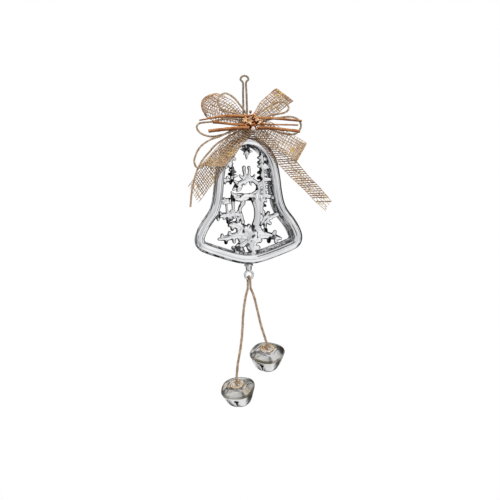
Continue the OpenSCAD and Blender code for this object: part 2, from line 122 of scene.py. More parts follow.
def soften(ob, voxel, rounds):
    """Melts overlapping lumps into one smooth piece."""
    melt = ob.modifiers.new("melt", "REMESH")
    melt.mode, melt.voxel_size = "VOXEL", voxel * MM
    melt.use_smooth_shade = True
    soft = ob.modifiers.new("soft", "SMOOTH")
    soft.factor, soft.iterations = 0.5, rounds
    mesh = bpy.data.meshes.new_from_object(ob.evaluated_get(bpy.context.evaluated_depsgraph_get()))
    old, mats = ob.data, list(ob.data.materials)
    ob.modifiers.clear()
    ob.data = mesh
    mesh.name = ob.name
    bpy.data.meshes.remove(old)
    mesh.materials.clear()
    for mat in mats:
        mesh.materials.append(mat)
    mesh.polygons.foreach_set("use_smooth", [True] * len(mesh.polygons))


WELD = 0.0005


class Parts:
    """Vertices, faces and material numbers of one mesh while it is made, in mm."""

    def __init__(self):
        self.v, self.f, self.m, self.n = [], [], [], 0

    def add(self, verts, faces, mat=0):
        """Vertices, and faces that count from the first of them."""
        verts = np.asarray(verts, float)
        self.v.append(verts)
        faces = np.asarray(faces, int) + self.n
        self.f += faces.tolist()
        self.m += [mat] * len(faces)
        self.n += len(verts)

    def tube(self, line, radius, sides=6, mat=0, caps=True):
        """A round tube. radius is a number or one for each point."""
        line = np.asarray(line, float)
        n = len(line)
        _, u, w = carried_frames(line)
        r = np.broadcast_to(np.asarray(radius, float), (n,))
        a = np.arange(sides) * 2 * np.pi / sides
        ring = (u[:, None] * np.cos(a)[None, :, None]
                + w[:, None] * np.sin(a)[None, :, None]) * r[:, None, None]
        self.sheet_of(line[:, None] + ring, wrap=True, mat=mat)
        if caps:
            start = self.n - n * sides
            self.f.append([start + k for k in range(sides)][::-1])
            self.f.append([start + (n - 1) * sides + k for k in range(sides)])
            self.m += [mat, mat]

    def strands(self, line, pitch, reach, radii, sides=6, sway=0.0):
        """Three strands twisted together round a line, one turn to each pitch."""
        _, u, w = carried_frames(line)
        run = np.linspace(0, length_of(line), len(line))
        for k in range(3):
            a = 2 * np.pi * (k / 3 + run / pitch) + sway
            offset = (u * np.cos(a)[:, None] + w * np.sin(a)[:, None]) * reach
            self.tube(line + offset, radii[k], sides)

    def sheet_of(self, grid, wrap=False, wrap_rows=False, mat=0, flip=False):
        """Quads over a grid of points."""
        rows, cols = grid.shape[:2]
        i = np.arange(rows if wrap_rows else rows - 1)[:, None]
        k = np.arange(cols if wrap else cols - 1)[None, :]
        i2, k2 = (i + 1) % rows, (k + 1) % cols
        q = np.stack(np.broadcast_arrays(i * cols + k, i * cols + k2, i2 * cols + k2,
                                         i2 * cols + k), axis=-1).reshape(-1, 4)
        self.add(grid.reshape(-1, 3), q[:, ::-1] if flip else q, mat)

    def ball(self, centre, radii, rows=8, cols=12, mat=0):
        """An egg shape with three radii."""
        a = np.linspace(-np.pi / 2, np.pi / 2, rows + 1)[:, None]
        b = np.arange(cols)[None, :] * 2 * np.pi / cols
        g = np.stack([np.cos(a) * np.cos(b), np.cos(a) * np.sin(b),
                      np.sin(a) * np.ones_like(b)], axis=-1) * np.asarray(radii, float)
        self.sheet_of(g + np.asarray(centre, float), wrap=True, mat=mat)

    def done(self, name, mats, body, slot, weld=0.0, melt=None, new=False):
        """The piece on its body. It stands for the CAD node of the same name, unless it is new."""
        mesh = bpy.data.meshes.new(name)
        mesh.from_pydata((np.vstack(self.v) * MM).tolist(), [], self.f)
        for mat in mats:
            mesh.materials.append(mat)
        mesh.polygons.foreach_set("material_index", self.m)
        mesh.polygons.foreach_set("use_smooth", [True] * len(mesh.polygons))
        mesh.update()
        ob = bpy.data.objects.new(name, mesh)
        scene.collection.objects.link(ob)
        if weld:
            bm = bmesh.new()
            bm.from_mesh(mesh)
            bmesh.ops.remove_doubles(bm, verts=bm.verts, dist=weld * MM)
            bmesh.ops.recalc_face_normals(bm, faces=bm.faces)
            bm.to_mesh(mesh)
            bm.free()
        if melt:
            soften(ob, *melt)
        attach(ob, body)
        if not new:
            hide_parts(name)
        return ob


# ---------------------------------------------------------------- materials

def lin(r, g, b):
    """A colour given as 0 to 255, as the shaders take it."""
    return tuple(((c / 255 + 0.055) / 1.055) ** 2.4 if c > 10 else c / 255 / 12.92
                 for c in (r, g, b)) + (1,)


def node(tree, kind, inputs=None, **settings):
    """A new shader node. An input is a value, or another node's output to link."""
    made = tree.nodes.new("ShaderNode" + kind)
    for key, value in settings.items():
        setattr(made, key, value)
    for socket, value in (inputs or {}).items():
        if isinstance(value, bpy.types.NodeSocket):
            tree.links.new(value, made.inputs[socket])
        else:
            made.inputs[socket].default_value = value
    return made


class Mat:
    """A node material whose colour, roughness and bump come from noise."""

    def __init__(self, name, **values):
        self.mat = bpy.data.materials.new(name)
        self.mat.use_nodes = True
        self.tree = self.mat.node_tree
        self.bsdf = self.tree.nodes["Principled BSDF"]
        self.coord = self.node("TexCoord")
        for key, value in values.items():
            self.bsdf.inputs[key.replace("_", " ")].default_value = value

    def node(self, kind, inputs=None, **settings):
        return node(self.tree, kind, inputs, **settings)

    def noise(self, scale, detail=3, rough=0.55, stretch=None):
        place = self.coord.outputs["Object"]
        if stretch:
            place = self.node("Mapping", {"Scale": stretch, "Vector": place}).outputs["Vector"]
        return self.node("TexNoise", {"Scale": scale, "Detail": detail, "Roughness": rough,
                                      "Vector": place}).outputs["Fac"]

    def ramp(self, fac, stops):
        """Colours at places along a value."""
        made = self.node("ValToRGB", {"Fac": fac})
        elements = made.color_ramp.elements
        while len(elements) < len(stops):
            elements.new(0.5)
        for element, (place, colour) in zip(elements, stops):
            element.position, element.color = place, colour
        return made.outputs["Color"]

    def span(self, fac, low, high, a=0.3, b=0.7):
        """A value between a and b, as one between low and high."""
        return self.node("MapRange", {"Value": fac, "From Min": a, "From Max": b,
                                      "To Min": low, "To Max": high}).outputs["Result"]

    def sum(self, how, a, b=0.0):
        return self.node("Math", {0: a, 1: b}, operation=how).outputs["Value"]

    def facing(self, way):
        """How far the surface faces one way, from -1 to 1."""
        normal = self.coord.outputs["Normal"]
        return self.node("VectorMath", {0: normal, 1: way}, operation="DOT_PRODUCT").outputs["Value"]

    def mix(self, fac, a, b, how="MIX"):
        """Two colours mixed: sockets 6, 7 and 2 are the node's colour ones."""
        return self.node("Mix", {"Factor": fac, 6: a, 7: b}, data_type="RGBA",
                         blend_type=how).outputs[2]

    def finish(self, colour, rough, bump=None, strength=0.3, distance=0.0003):
        """Links the outputs to the shader, and gives the material."""
        self.tree.links.new(colour, self.bsdf.inputs["Base Color"])
        self.tree.links.new(rough, self.bsdf.inputs["Roughness"])
        if bump:
            made = self.node("Bump", {"Strength": strength, "Distance": distance, "Height": bump})
            self.tree.links.new(made.outputs["Normal"], self.bsdf.inputs["Normal"])
        return self.mat


# The way the castings' painted shade faces: down and a little to the left.
SHADED_UNDERSIDE = (-0.35, 0, -0.94)


def polished(name, waves, depth, pitch, shade_from, shade_to, shade_colours, blotch=0.18, patch=230):
    """Bright plated casting, with painted shade where the surface turns away from the face, and where it
    faces down and to the left.
    """
    m = Mat(name, Metallic=1.0, Specular_IOR_Level=0.5)
    bright = m.ramp(m.noise(90, 2), [(0.3, lin(226, 227, 230)), (0.7, lin(246, 246, 247))])
    rear = m.facing((0, 1, 0))
    patchy = m.sum("MULTIPLY", m.span(m.noise(patch, 1), -1, 1), blotch)
    # Painted shade mask: full where the surface turns sideways from the front, jittered by noise.
    turned = m.span(m.sum("ADD", m.sum("ABSOLUTE", rear), patchy), 1.0, 0.0, shade_from, shade_to)
    # More painted shade where the surface faces down and to the left.
    painted_shade_below = m.span(m.facing(SHADED_UNDERSIDE), 0.0, 1.0, 0.5, 0.62)
    turned = m.sum("MAXIMUM", turned, painted_shade_below)
    # The painted shade colours, laid into the base colour by the mask.
    painted_shade_colour = m.ramp(m.noise(patch * 1.3, 2, 0.5, (1, 1, 0.4)), shade_colours)
    cast_back = m.span(rear, 0.0, 1.0, 0.6, 0.9)
    satin = m.sum("MULTIPLY", cast_back, m.span(m.noise(120, 3), 0.42, 0.62))
    rough = m.sum("MAXIMUM", m.span(m.noise(400, 3), 0.05, 0.1), satin)
    drawn = m.sum("MULTIPLY", m.noise(pitch, 2, 0.4, (1, 1, 0.3)), m.span(turned, 0.15, 1))
    return m.finish(m.mix(turned, bright, painted_shade_colour), rough, drawn, waves, depth)


def satin_nickel(name, darkest, mid, clean):
    """Pressed nickel plate, faintly hammered."""
    m = Mat(name, Metallic=1.0)
    return m.finish(m.ramp(m.noise(85, 2), [(0.34, darkest), (0.5, mid), (0.7, clean)]),
                    m.span(m.noise(500, 2), 0.17, 0.26), m.noise(90, 1, 0.4), 0.12, 0.0005)


def bell_inside(name):
    """Dull brown metal, as inside a jingle bell."""
    m = Mat(name, Metallic=0.7)
    return m.finish(m.ramp(m.noise(300, 3), [(0.3, lin(70, 42, 12)), (0.7, lin(120, 82, 30))]),
                    m.span(m.noise(600, 2), 0.35, 0.6))


def jute(name, dark, mid, light):
    """Coarse plant fibre, streaked along the strand."""
    m = Mat(name, Sheen_Weight=0.25, Sheen_Roughness=0.5, Specular_IOR_Level=0.2)
    coarse = m.ramp(m.noise(420, 4, 0.65), [(0.28, dark), (0.5, mid), (0.74, light)])
    fine = m.ramp(m.noise(2600, 3, 0.7, (1, 1, 0.35)), [(0.35, lin(150, 150, 150)),
                                                        (0.65, lin(255, 255, 255))])
    return m.finish(m.mix(0.55, coarse, fine, "MULTIPLY"), m.span(m.noise(1200, 2), 0.75, 0.95),
                    m.noise(3200, 3, 0.7, (1, 1, 0.3)), 0.6, 0.00015)


def bark(name, *stops):
    """Stringy bark, with painted shade where it faces down."""
    m = Mat(name, Specular_IOR_Level=0.25)
    # Painted shade: dark brown laid in as the surface turns to face down.
    painted_underside_shade = m.span(m.facing((0, 0, 1)), 0.9, 0.0, -0.6, 0.25)
    long = m.ramp(m.noise(900, 5, 0.7, (0.22, 1, 1)), stops)
    pits = m.ramp(m.noise(2200, 3, 0.6), [(0.3, lin(110, 70, 40)), (0.48, lin(255, 255, 255))])
    return m.finish(m.mix(painted_underside_shade, m.mix(0.5, long, pits, "MULTIPLY"), lin(84, 34, 12)),
                    m.span(m.noise(1500, 2), 0.6, 0.85), m.noise(1400, 5, 0.7, (0.2, 1, 1)), 0.8)


def gold_glitter():
    """Gold flecks stuck to the ribbon."""
    m = Mat("gold_glitter", Metallic=0.45)
    return m.finish(m.ramp(m.noise(900, 2), [(0.3, lin(214, 168, 84)), (0.7, lin(244, 216, 140))]),
                    m.span(m.noise(1500, 1), 0.15, 0.4))


def hot_glue():
    """Cloudy amber glue."""
    m = Mat("hot_glue", Transmission_Weight=0.6, IOR=1.45, Coat_Weight=0.3)
    return m.finish(m.ramp(m.noise(240, 2), [(0.35, lin(226, 190, 136)), (0.62, lin(240, 236, 228))]),
                    m.span(m.noise(700, 2), 0.12, 0.3))


JUTE = jute("jute_twine", lin(120, 92, 68), lin(174, 146, 118), lin(212, 190, 164))
JUTE_LOOP = jute("jute_loop", lin(104, 90, 76), lin(146, 130, 112), lin(184, 168, 150))
FIBRE = jute("jute_fibre", lin(170, 130, 92), lin(206, 176, 140), lin(228, 206, 178))
# One burlap in three brightnesses: the two loop copies are lightened, painted light against the shade of
# their doubled layers, and the tails keep the darkest.
BURLAP = jute("burlap_thread", lin(128, 88, 58), lin(186, 144, 106), lin(230, 198, 160))
BURLAP_LIGHTENED = jute("burlap_lightened", lin(166, 124, 88), lin(222, 188, 150), lin(247, 228, 200))
BURLAP_TAIL = jute("burlap_tail", lin(96, 66, 44), lin(150, 114, 82), lin(206, 172, 134))
GOLD = gold_glitter()
TWIG = bark("twig_bark", (0.25, lin(84, 44, 18)), (0.5, lin(160, 106, 62)), (0.75, lin(212, 162, 112)))
TWIG_END = bark("twig_end", (0.3, lin(84, 40, 18)), (0.7, lin(150, 96, 56)))
WOODY = bark("dried_wood", (0.25, lin(128, 60, 22)), (0.5, lin(198, 122, 68)), (0.75, lin(238, 192, 140)))
HUSK = bark("seed_husk", (0.25, lin(140, 84, 44)), (0.5, lin(212, 166, 120)), (0.75, lin(246, 226, 196)))
# Painted shade: dark red-brown for the middle and seeds that fill the gaps between the husks.
GAP_SHADE = bark("gap_shade_seed", (0.3, lin(58, 14, 6)), (0.7, lin(112, 42, 20)))
GREY_SEED = bark("grey_seed", (0.3, lin(112, 100, 88)), (0.7, lin(168, 156, 142)))
PALE = bark("pale_seed", (0.3, lin(206, 194, 182)), (0.7, lin(240, 232, 222)))
# The last list of each casting holds its painted shade colours, near black.
CASTING = polished("polished_casting", 0.7, 0.0012, 260, 0.14, 0.42,
                   [(0.44, lin(22, 22, 24)), (0.54, lin(176, 176, 180))])
FRET = polished("polished_fretwork", 0.5, 0.001, 150, 0.77, 0.88,
                [(0.46, lin(6, 6, 7)), (0.62, lin(112, 112, 116))], 0.36, 200)
NICKEL = satin_nickel("satin_nickel", lin(222, 220, 214), lin(236, 236, 236), lin(244, 245, 247))
# Painted shade: a darker nickel for the band just above the cap's crease.
NICKEL_CREASE_SHADE = satin_nickel("satin_nickel_crease_shade", lin(84, 76, 56), lin(146, 140, 128),
                           lin(214, 213, 209))
# Painted reflection: the cap's plate is a darker copy of the cup's nickel, for the greyer reflection it
# shows.
NICKEL_CAP = satin_nickel("satin_nickel_cap", lin(186, 172, 150), lin(206, 204, 198),
                          lin(222, 223, 224))
INSIDE = bell_inside("bell_inside")
GLUE = hot_glue()

# ---------------------------------------------------------------- twine

def twine(name, points, body, seed, cord=None, radius=0.9, mat=JUTE, fuzz=1.0, turn=6.0):
    """Three strands twisted along a smooth line, with loose fibres.

    cord is where a free one leaves the object, its far end, its stiffness and how it lies. It is not
    used.
    """
    rng = random.Random(seed)
    line = even(spline(points, 10), 0.45)
    n = len(line)
    run = np.linspace(0, length_of(line), n)
    _, u, w = carried_frames(line)
    wob = [rng.uniform(0, 6.28) for _ in range(4)]
    build = Parts()
    thick = [radius * (0.52 + 0.05 * np.sin(run * 1.3 + wob[1] + k * 2)
                       + 0.03 * np.sin(run * 3.1 + wob[2] + k)) for k in range(3)]
    build.strands(line, turn, radius * 0.47, thick, 7, 0.3 * np.sin(run * 0.5 + wob[0]))
    for _ in range(int(length_of(line) * 1.5 * fuzz)):
        i = rng.randrange(2, n - 2)
        a = rng.uniform(0, 6.28)
        out = u[i] * math.cos(a) + w[i] * math.sin(a)
        along = unit(line[i + 1] - line[i - 1]) * rng.choice((-1, 1))
        reach = rng.uniform(0.3, 0.95)
        start = line[i] + out * radius * 0.85
        bend = unit(out * rng.uniform(0.3, 1) + along * rng.uniform(0.5, 1.4))
        droop = np.array([rng.uniform(-0.3, 0.3), rng.uniform(-0.3, 0.3), rng.uniform(-0.4, 0.2)])
        q = [start - along * 0.8 - out * 0.2, start, start + bend * reach,
             start + bend * reach * 1.9 + droop * reach]
        build.tube(spline(q, 3), np.linspace(0.075, 0.03, 10), 3, 1, caps=False)
    ob = build.done(name, [mat, FIBRE], body, "jute_twine")
    if cord:
        exit_at, far_end, stiffness, lay = cord
        [c * MM for c in exit_at]
        length_of(line) * MM


TOP_EYE_Z, LOW_EYE_Z = -40.8, -160.6
EYE_R, EYE_WIRE = 3.3, 0.9
PIN_X, PIN_Z = 1.15, -170.5
FALL_GAP = 0.9
LEFT_PIN, RIGHT_PIN = (-13.4, -4, -244.8), (12.7, -4, -217.2)


def hanging_line():
    """The hanging loop's route, through the top eye and over its bend at the top."""
    z = TOP_EYE_Z + EYE_R
    under = [(0.7 - 1.4 * (180 - a) / 180, 1.7 * math.cos(math.radians(a)),
              z - 1.7 * math.sin(math.radians(a))) for a in (20, 60, 90, 120, 160)]
    over = [(3 * math.cos(math.radians(a)), -1.2 * math.cos(math.radians(a)),
             -4.1 + 3.2 * math.sin(math.radians(a))) for a in (0, 45, 90, 135, 180)]
    side = [(-1, 1.2, -6.6), (-1.1, 1.3, -16), (-1.1, 1.5, -26), (-0.9, 1.7, -34.4)]
    front = [(0.9, -1.7, -34.4), (1.1, -1.5, -26), (1.1, -1.3, -16), (1, -1.2, -6.6)]
    ring = side + under + front + over
    start = len(side) + 2
    return ring[start:] + ring[:start + 1]


def bight_line():
    """The string's fold over the bottom eye, down to its two falls."""
    z = LOW_EYE_Z - EYE_R
    over = [(0.4 - a / 225, -2.3 * math.cos(math.radians(a)), z + 2.3 * math.sin(math.radians(a)))
            for a in range(0, 181, 30)]
    leg = [(PIN_X, 0, PIN_Z - 0.8), (0.85, -0.8, z - 4.6), (0.55, -1.6, z - 2.2)]
    return leg + over + [(-x, -y, z) for x, y, z in reversed(leg)]


LEFT_FALL = [(-PIN_X, 0, PIN_Z - FALL_GAP), (-3.4, -0.4, -179), (-5.7, -1, -192), (-7, -1.8, -206),
             (-9, -2.6, -219), (-11.8, -3.4, -232), (-13.4, -4, -244.2)]
RIGHT_FALL = [(PIN_X, 0, PIN_Z - FALL_GAP), (3.6, -0.6, -178), (6.1, -1.8, -190), (8.6, -2.8, -202),
              (12.7, -4, -216.6)]
twine("hanging_loop", hanging_line(), "ornament", 3,
      ((0, 0, TOP_EYE_Z + EYE_R - 1.7), "object", "limp", "hanging"), mat=JUTE_LOOP, fuzz=0.5, turn=5)
twine("string_bight", bight_line(), "bight", 5, radius=0.95, turn=5)
for name, body, seed, line in (("left_string", "left_fall", 7, LEFT_FALL),
                               ("right_string", "right_fall", 8, RIGHT_FALL)):
    twine(name, line, body, seed, (line[0], "object", "limp", "hanging"), 1.05, fuzz=1.3, turn=5)


def bow_twine(name, far_end, seed, y, points):
    """A loop or end of the twine bow, in the plane y, through points of x, z."""
    line = [(x, y, z) for x, z in points]
    twine(name, line, "ornament", seed, (line[0], far_end, "medium", "loose"), 0.85, fuzz=0.7)


bow_twine("twine_upper_left", "object", 11, -17, [
    (-1.6, -34.2), (-8, -25), (-14, -18), (-21, -14.6), (-26.5, -19), (-24, -27), (-13, -30.8),
    (-4.2, -34.4)])
bow_twine("twine_upper_right", "object", 12, -17, [
    (3.4, -34), (9, -29.6), (15, -25.8), (22, -22.8), (28, -22.8), (31.4, -27.2), (28, -31),
    (16, -33), (6.2, -36.2)])
bow_twine("twine_side_left", "object", 13, -17, [
    (-3.6, -38), (-12, -35.2), (-22, -35), (-32, -36.8), (-42, -37.8), (-44.4, -41.4),
    (-40.6, -46.2), (-32, -48.6), (-20, -46.4), (-10, -42.4), (-3.4, -40.4)])
bow_twine("twine_side_right", "object", 14, -17, [
    (6, -39.4), (14, -36.6), (24, -34.9), (33, -34.5), (39, -36.8), (41.4, -41.6), (39, -46.6),
    (33.6, -48.6), (22, -46.4), (12, -42.6), (5.4, -40.8)])
bow_twine("twine_lower_left", "bare", 15, -19.2, [
    (-2.6, -41.2), (-12, -42.6), (-26, -48.4), (-35, -51.4), (-43, -57), (-47.4, -65.4),
    (-46.8, -71.4), (-43.2, -73), (-40, -70.6)])
bow_twine("twine_tail_left", "bare", 16, -17, [
    (-2.4, -42.4), (-14, -46.6), (-27.6, -54), (-35, -61), (-41, -68), (-45.4, -76), (-48.6, -86),
    (-50.2, -95), (-51.2, -103.8)])

# ---------------------------------------------------------------- bow: ribbon

def weave(build, surface, rng, flat_w, flat_l, pitch_w, pitch_l, warp, weft, bias, fray_end):
    """The threads of a plain weave over a surface, the crosswise ones askew by bias."""
    warps, wefts = int(flat_w / pitch_w), int(flat_l / pitch_l)
    fine = 4 * wefts + 1
    lift = 0.17
    wave = [rng.uniform(0, 6.28) for _ in range(6)]
    s_fine = np.linspace(0, 1, fine)
    for k in range(warps + 1):
        jitter = 0.25 / warps * np.sin(s_fine * 23 + wave[0] + k * 1.7)
        p, nrm = surface(s_fine, np.full(fine, -1 + 2 * k / warps) + jitter)
        over = np.cos(np.pi * (np.arange(fine) / 4 + k))[:, None]
        r = warp * (1 + 0.25 * np.sin(s_fine * 61 + k * 2.3) + rng.uniform(-0.12, 0.12))
        build.tube(p + nrm * over * lift, r, 5)
    cols = 4 * warps + 1
    t_fine = np.linspace(-1.03, 1.03, cols)
    spare = int(math.ceil(abs(bias) / pitch_l))
    for i in range(-spare, wefts + 1 + spare):
        s = (i + rng.uniform(-0.12, 0.12)) / wefts + bias / flat_l * t_fine
        on = (s > -0.5 / wefts) & (s < 1 + 0.5 / wefts)
        if on.sum() < 8 or (fray_end and i > wefts - 4 and rng.random() < 0.4):
            continue
        p, nrm = surface(np.clip(s[on], 0, 1), t_fine[on])
        over = -np.cos(np.pi * (np.arange(cols)[on] / 4 + i))[:, None]
        r = weft * (1 + 0.3 * np.sin(t_fine[on] * 7 + i * 1.9) * 0.6 + rng.uniform(-0.15, 0.2))
        build.tube(p + nrm * over * lift, r, 5)


def fray(trim, surface, rng, count):
    """Short loose fibres along both edges."""
    for _ in range(count):
        s, t = rng.random(), rng.choice((-1, 1)) * rng.uniform(0.96, 1.02)
        p, nrm = surface(np.array([s, min(1, s + 0.015)]), np.array([t, t * 1.06]))
        out = unit(p[1] - p[0]) * rng.uniform(0.5, 1.4) + nrm[0] * rng.uniform(-0.5, 0.5)
        trim.tube(np.array([p[0], p[0] + out * 0.5, p[0] + out]), 0.05, 3)


def fleck(trim, surface, rng, s, t):
    """One six-sided gold fleck, mostly on the front."""
    p, nrm = surface(np.array([s]), np.array([t]))
    a = rng.uniform(0, 6.28)
    n = unit(nrm[0] + np.array([rng.uniform(-0.5, 0.5) for _ in range(3)]))
    x = unit(np.cross(n, (math.cos(a), math.sin(a), 0.3)))
    y = np.cross(n, x)
    side = 1 if rng.random() < 0.75 else -1
    c = p[0] + nrm[0] * side * 0.42
    size = rng.uniform(0.28, 0.52)
    g = [c + size * (x * math.cos(b) + y * math.sin(b)) for b in (0, 1.05, 2.1, 3.14, 4.19, 5.24)]
    trim.add(g, [[0, 1, 2, 3], [0, 3, 4, 5]], 1)


def ribbon(name, surface, flat_w, flat_l, seed, patches, pitch_w=2.05, pitch_l=1.72,
           fray_end=False, warp=0.22, weft=0.28, thread=BURLAP, bias=0.0):
    """A strip of open burlap. surface(s, t) gives points and normals, s along and t across.

    patches are the gold flecks: place along and across, spread and count.
    """
    rng = random.Random(seed)
    build, trim = Parts(), Parts()
    weave(build, surface, rng, flat_w, flat_l, pitch_w, pitch_l, warp, weft, bias, fray_end)
    fray(trim, surface, rng, int(flat_l * 0.9))
    for s0, t0, spread, count in patches:
        for _ in range(count):
            s = min(max(rng.gauss(s0, spread / flat_l), 0.01), 0.99)
            t = min(max(rng.gauss(t0, 2 * spread / flat_w), -0.98), 0.98)
            fleck(trim, surface, rng, s, t)
    ob = build.done(name, [thread], "ornament", "burlap_ribbon")
    flecks = trim.done(name + "_trim", [FIBRE, GOLD], "ornament", "burlap_ribbon", new=True)


def with_normals(place):
    """Adds normals to a surface by small steps along and across it."""
    def both(s, t):
        e = 0.004
        p = place(s, t)
        ds = place(np.minimum(s + e, 1), t) - place(np.maximum(s - e, 0), t)
        dt = place(s, t + e) - place(s, t - e)
        n = np.cross(ds, dt)
        return p, n / np.maximum(np.linalg.norm(n, axis=-1, keepdims=True), 1e-9)
    return both


KNOT = np.array([1.0, 0.0, -38.5])
TAIL_Y, TAIL_HALF = -7.9, 8


def step01(x):
    """An eased step from 0 to 1."""
    x = np.clip(x, 0, 1)
    return x * x * (3 - 2 * x)


def loop_surface(angle, length, belly, y, half=8.0, root=4.0, round_end=0.0, splay=0.0,
                 phase=0.0, tilt=0.0, skew=0.0, spread=0.5, neck=3.0):
    """A ribbon loop: out along the front layer and back along the rear one."""
    a = math.radians(angle)
    along = np.array([math.cos(a), 0, math.sin(a)])
    across = np.array([-math.sin(a), 0, math.cos(a)])
    front = np.array([0, -1.0, 0])

    def place(s, t):
        turn = 2 * np.pi * (0.02 + 0.96 * s)
        reach = length * (1 - round_end * t ** 2 + skew * t)
        u = reach * (1 - np.cos(turn)) / 2
        share = np.clip(u / length, 0, 1)
        v = belly * np.sin(turn) * np.sqrt(share)
        w = t * (neck + (half - neck) * step01(share / spread))
        w = w + splay * np.sin(turn) * share * length * 0.12
        v = v + np.cos(t * 7.5 + phase) * (1 - share) ** 2 * 0.9
        v = v + 0.35 * np.sin(u * 0.23 + t * 2.1 + phase) * step01(share * 2)
        v = v + tilt * t * share
        p = (KNOT + np.array([0, y, 0]) + along * root)[None, :] + along * u[:, None]
        return p + across * w[:, None] + front * v[:, None]
    return with_normals(place)


def tail_surface(points, phase, notch):
    """A single strip. points are x, z, half-width share and depth offset down its middle."""
    line = spline(points, 12)
    run = np.concatenate([[0], np.cumsum(np.linalg.norm(np.diff(line[:, :2], axis=0), axis=1))])
    side = np.gradient(line[:, :2], axis=0)
    side /= np.linalg.norm(side, axis=1, keepdims=True)
    side = np.stack([side[:, 1], -side[:, 0]], axis=1)

    def place(s, t):
        d = np.clip(s, 0, 1) * (run[-1] + notch * t)
        x, z, share, deep = (np.interp(d, run, line[:, k]) for k in range(4))
        nx, nz = np.interp(d, run, side[:, 0]), np.interp(d, run, side[:, 1])
        over = np.maximum(d - run[-1], 0)
        x = x + over * (line[-1, 0] - line[-2, 0]) / (run[-1] - run[-2])
        z = z + over * (line[-1, 1] - line[-2, 1]) / (run[-1] - run[-2])
        w = t * TAIL_HALF * share
        squeeze = np.clip(1 - share, 0, 1)
        v = TAIL_Y + deep - 0.8 * np.cos(t * 6 + phase) * squeeze * 1.6
        v = v - 0.25 * np.sin(d * 0.18 + phase + t) * (1 - squeeze)
        return np.stack([x + nx * w, v, z + nz * w], axis=-1)
    return with_normals(place), run[-1]


ribbon("ribbon_upper_left",
       loop_surface(154.5, 39, 4.0, -10, round_end=0.16, splay=-0.9, phase=0.5, half=8.2),
       16, 80, 21, [(0.22, 0.2, 3.5, 60), (0.14, -0.3, 2.5, 30), (0.8, 0.3, 3, 30)])
ribbon("ribbon_upper_right",
       loop_surface(36.5, 32.5, 4.0, -10, splay=0.25, phase=1.4, skew=-0.07),
       16, 66, 22, [(0.4, 0.3, 2.6, 60), (0.28, -0.2, 3.2, 70), (0.75, 0, 3, 30)])
ribbon("ribbon_lower_left",
       loop_surface(226, 45, 2.9, -12.2, splay=-0.2, phase=2.2, half=6.4, tilt=3.2, skew=-0.13,
                    spread=0.3, neck=4.6, root=1.5),
       16, 87, 23, [(0.3, 0.7, 1.2, 26), (0.4, -0.2, 3, 40), (0.7, 0.2, 3, 40)],
       warp=0.19, weft=0.25, thread=BURLAP_LIGHTENED)
ribbon("ribbon_lower_right",
       loop_surface(-31, 47, 2.9, -12.2, splay=0.2, phase=3.1, spread=0.3, neck=5.0, root=1.5),
       16, 91, 24, [(0.36, -0.35, 1.1, 40), (0.62, 0.3, 2.5, 24)], thread=BURLAP_LIGHTENED)

strip, length = tail_surface([(1, -41, 0.8, -1.4), (-8, -50, 0.72, -0.8), (-18, -61, 0.86, 0),
                              (-30, -74.5, 0.9, 0), (-46.6, -94.4, 0.9, -0.3)], 0.4, -2.5)
ribbon("ribbon_tail_left", strip, 16, length, 25,
       [(0.72, -0.4, 4, 80), (0.6, 0.3, 4, 60), (0.9, 0.1, 4, 60), (0.42, 0.6, 1.4, 30)],
       fray_end=True, warp=0.26, weft=0.34, thread=BURLAP_TAIL)
strip, length = tail_surface([(2, -41, 0.85, -1.6), (11, -50, 0.66, -1.1), (21, -60.6, 0.62, -0.2),
                              (31, -70.6, 0.74, 0), (47, -87.6, 0.66, -0.2),
                              (65.4, -107, 0.58, -0.2)], 1.2, 1.0)
ribbon("ribbon_tail_right", strip, 12, length, 26,
       [(0.5, -0.6, 3, 70), (0.62, 0.2, 4, 80), (0.72, 0.3, 4, 80), (0.92, -0.2, 4, 70)],
       pitch_w=2.1, pitch_l=2.4, fray_end=True, warp=0.18, weft=0.44, thread=BURLAP_TAIL,
       bias=-5.5)

# ---------------------------------------------------------------- bow: binding, twigs, seeds

def wrap_turns(name, centre, axis, turns, seed, new=False):
    """Turns of twine wound tightly round something, each with its offset, radius and tilt."""
    build = Parts()
    rng = random.Random(seed)
    x = unit(np.cross(axis, (0.2, 0.3, 0.9)))
    y = np.cross(unit(axis), x)
    for offset, r, tilt in turns:
        line = []
        for i in range(40):
            a = 2 * np.pi * i / 40
            wob = 0.12 * math.sin(3 * a + rng.uniform(0, 0.4))
            line.append(np.asarray(centre) + unit(axis) * (offset + tilt * math.sin(a))
                        + (x * math.cos(a) + y * math.sin(a)) * (r + wob))
        line = even(spline(line, 2, closed=True), 0.5)
        build.strands(np.vstack([line, line[:2]]), 5, 0.4, [0.45] * 3)
    build.done(name, [JUTE], "ornament", "jute_twine", new=new)


wrap_turns("bow_binding", (1, -10.4, -38.5), (1, 0, 0.08),
           [(-2.2, 5.6, 0.4), (-0.4, 5.9, -0.5), (1.4, 5.8, 0.3), (3, 5.5, -0.3)], 31)
wrap_turns("stem_tie", (0, -0.4, -45.4), (0, 0, 1), [(-0.9, 3.4, 0.3), (0.8, 3.4, -0.2)], 32,
           new=True)


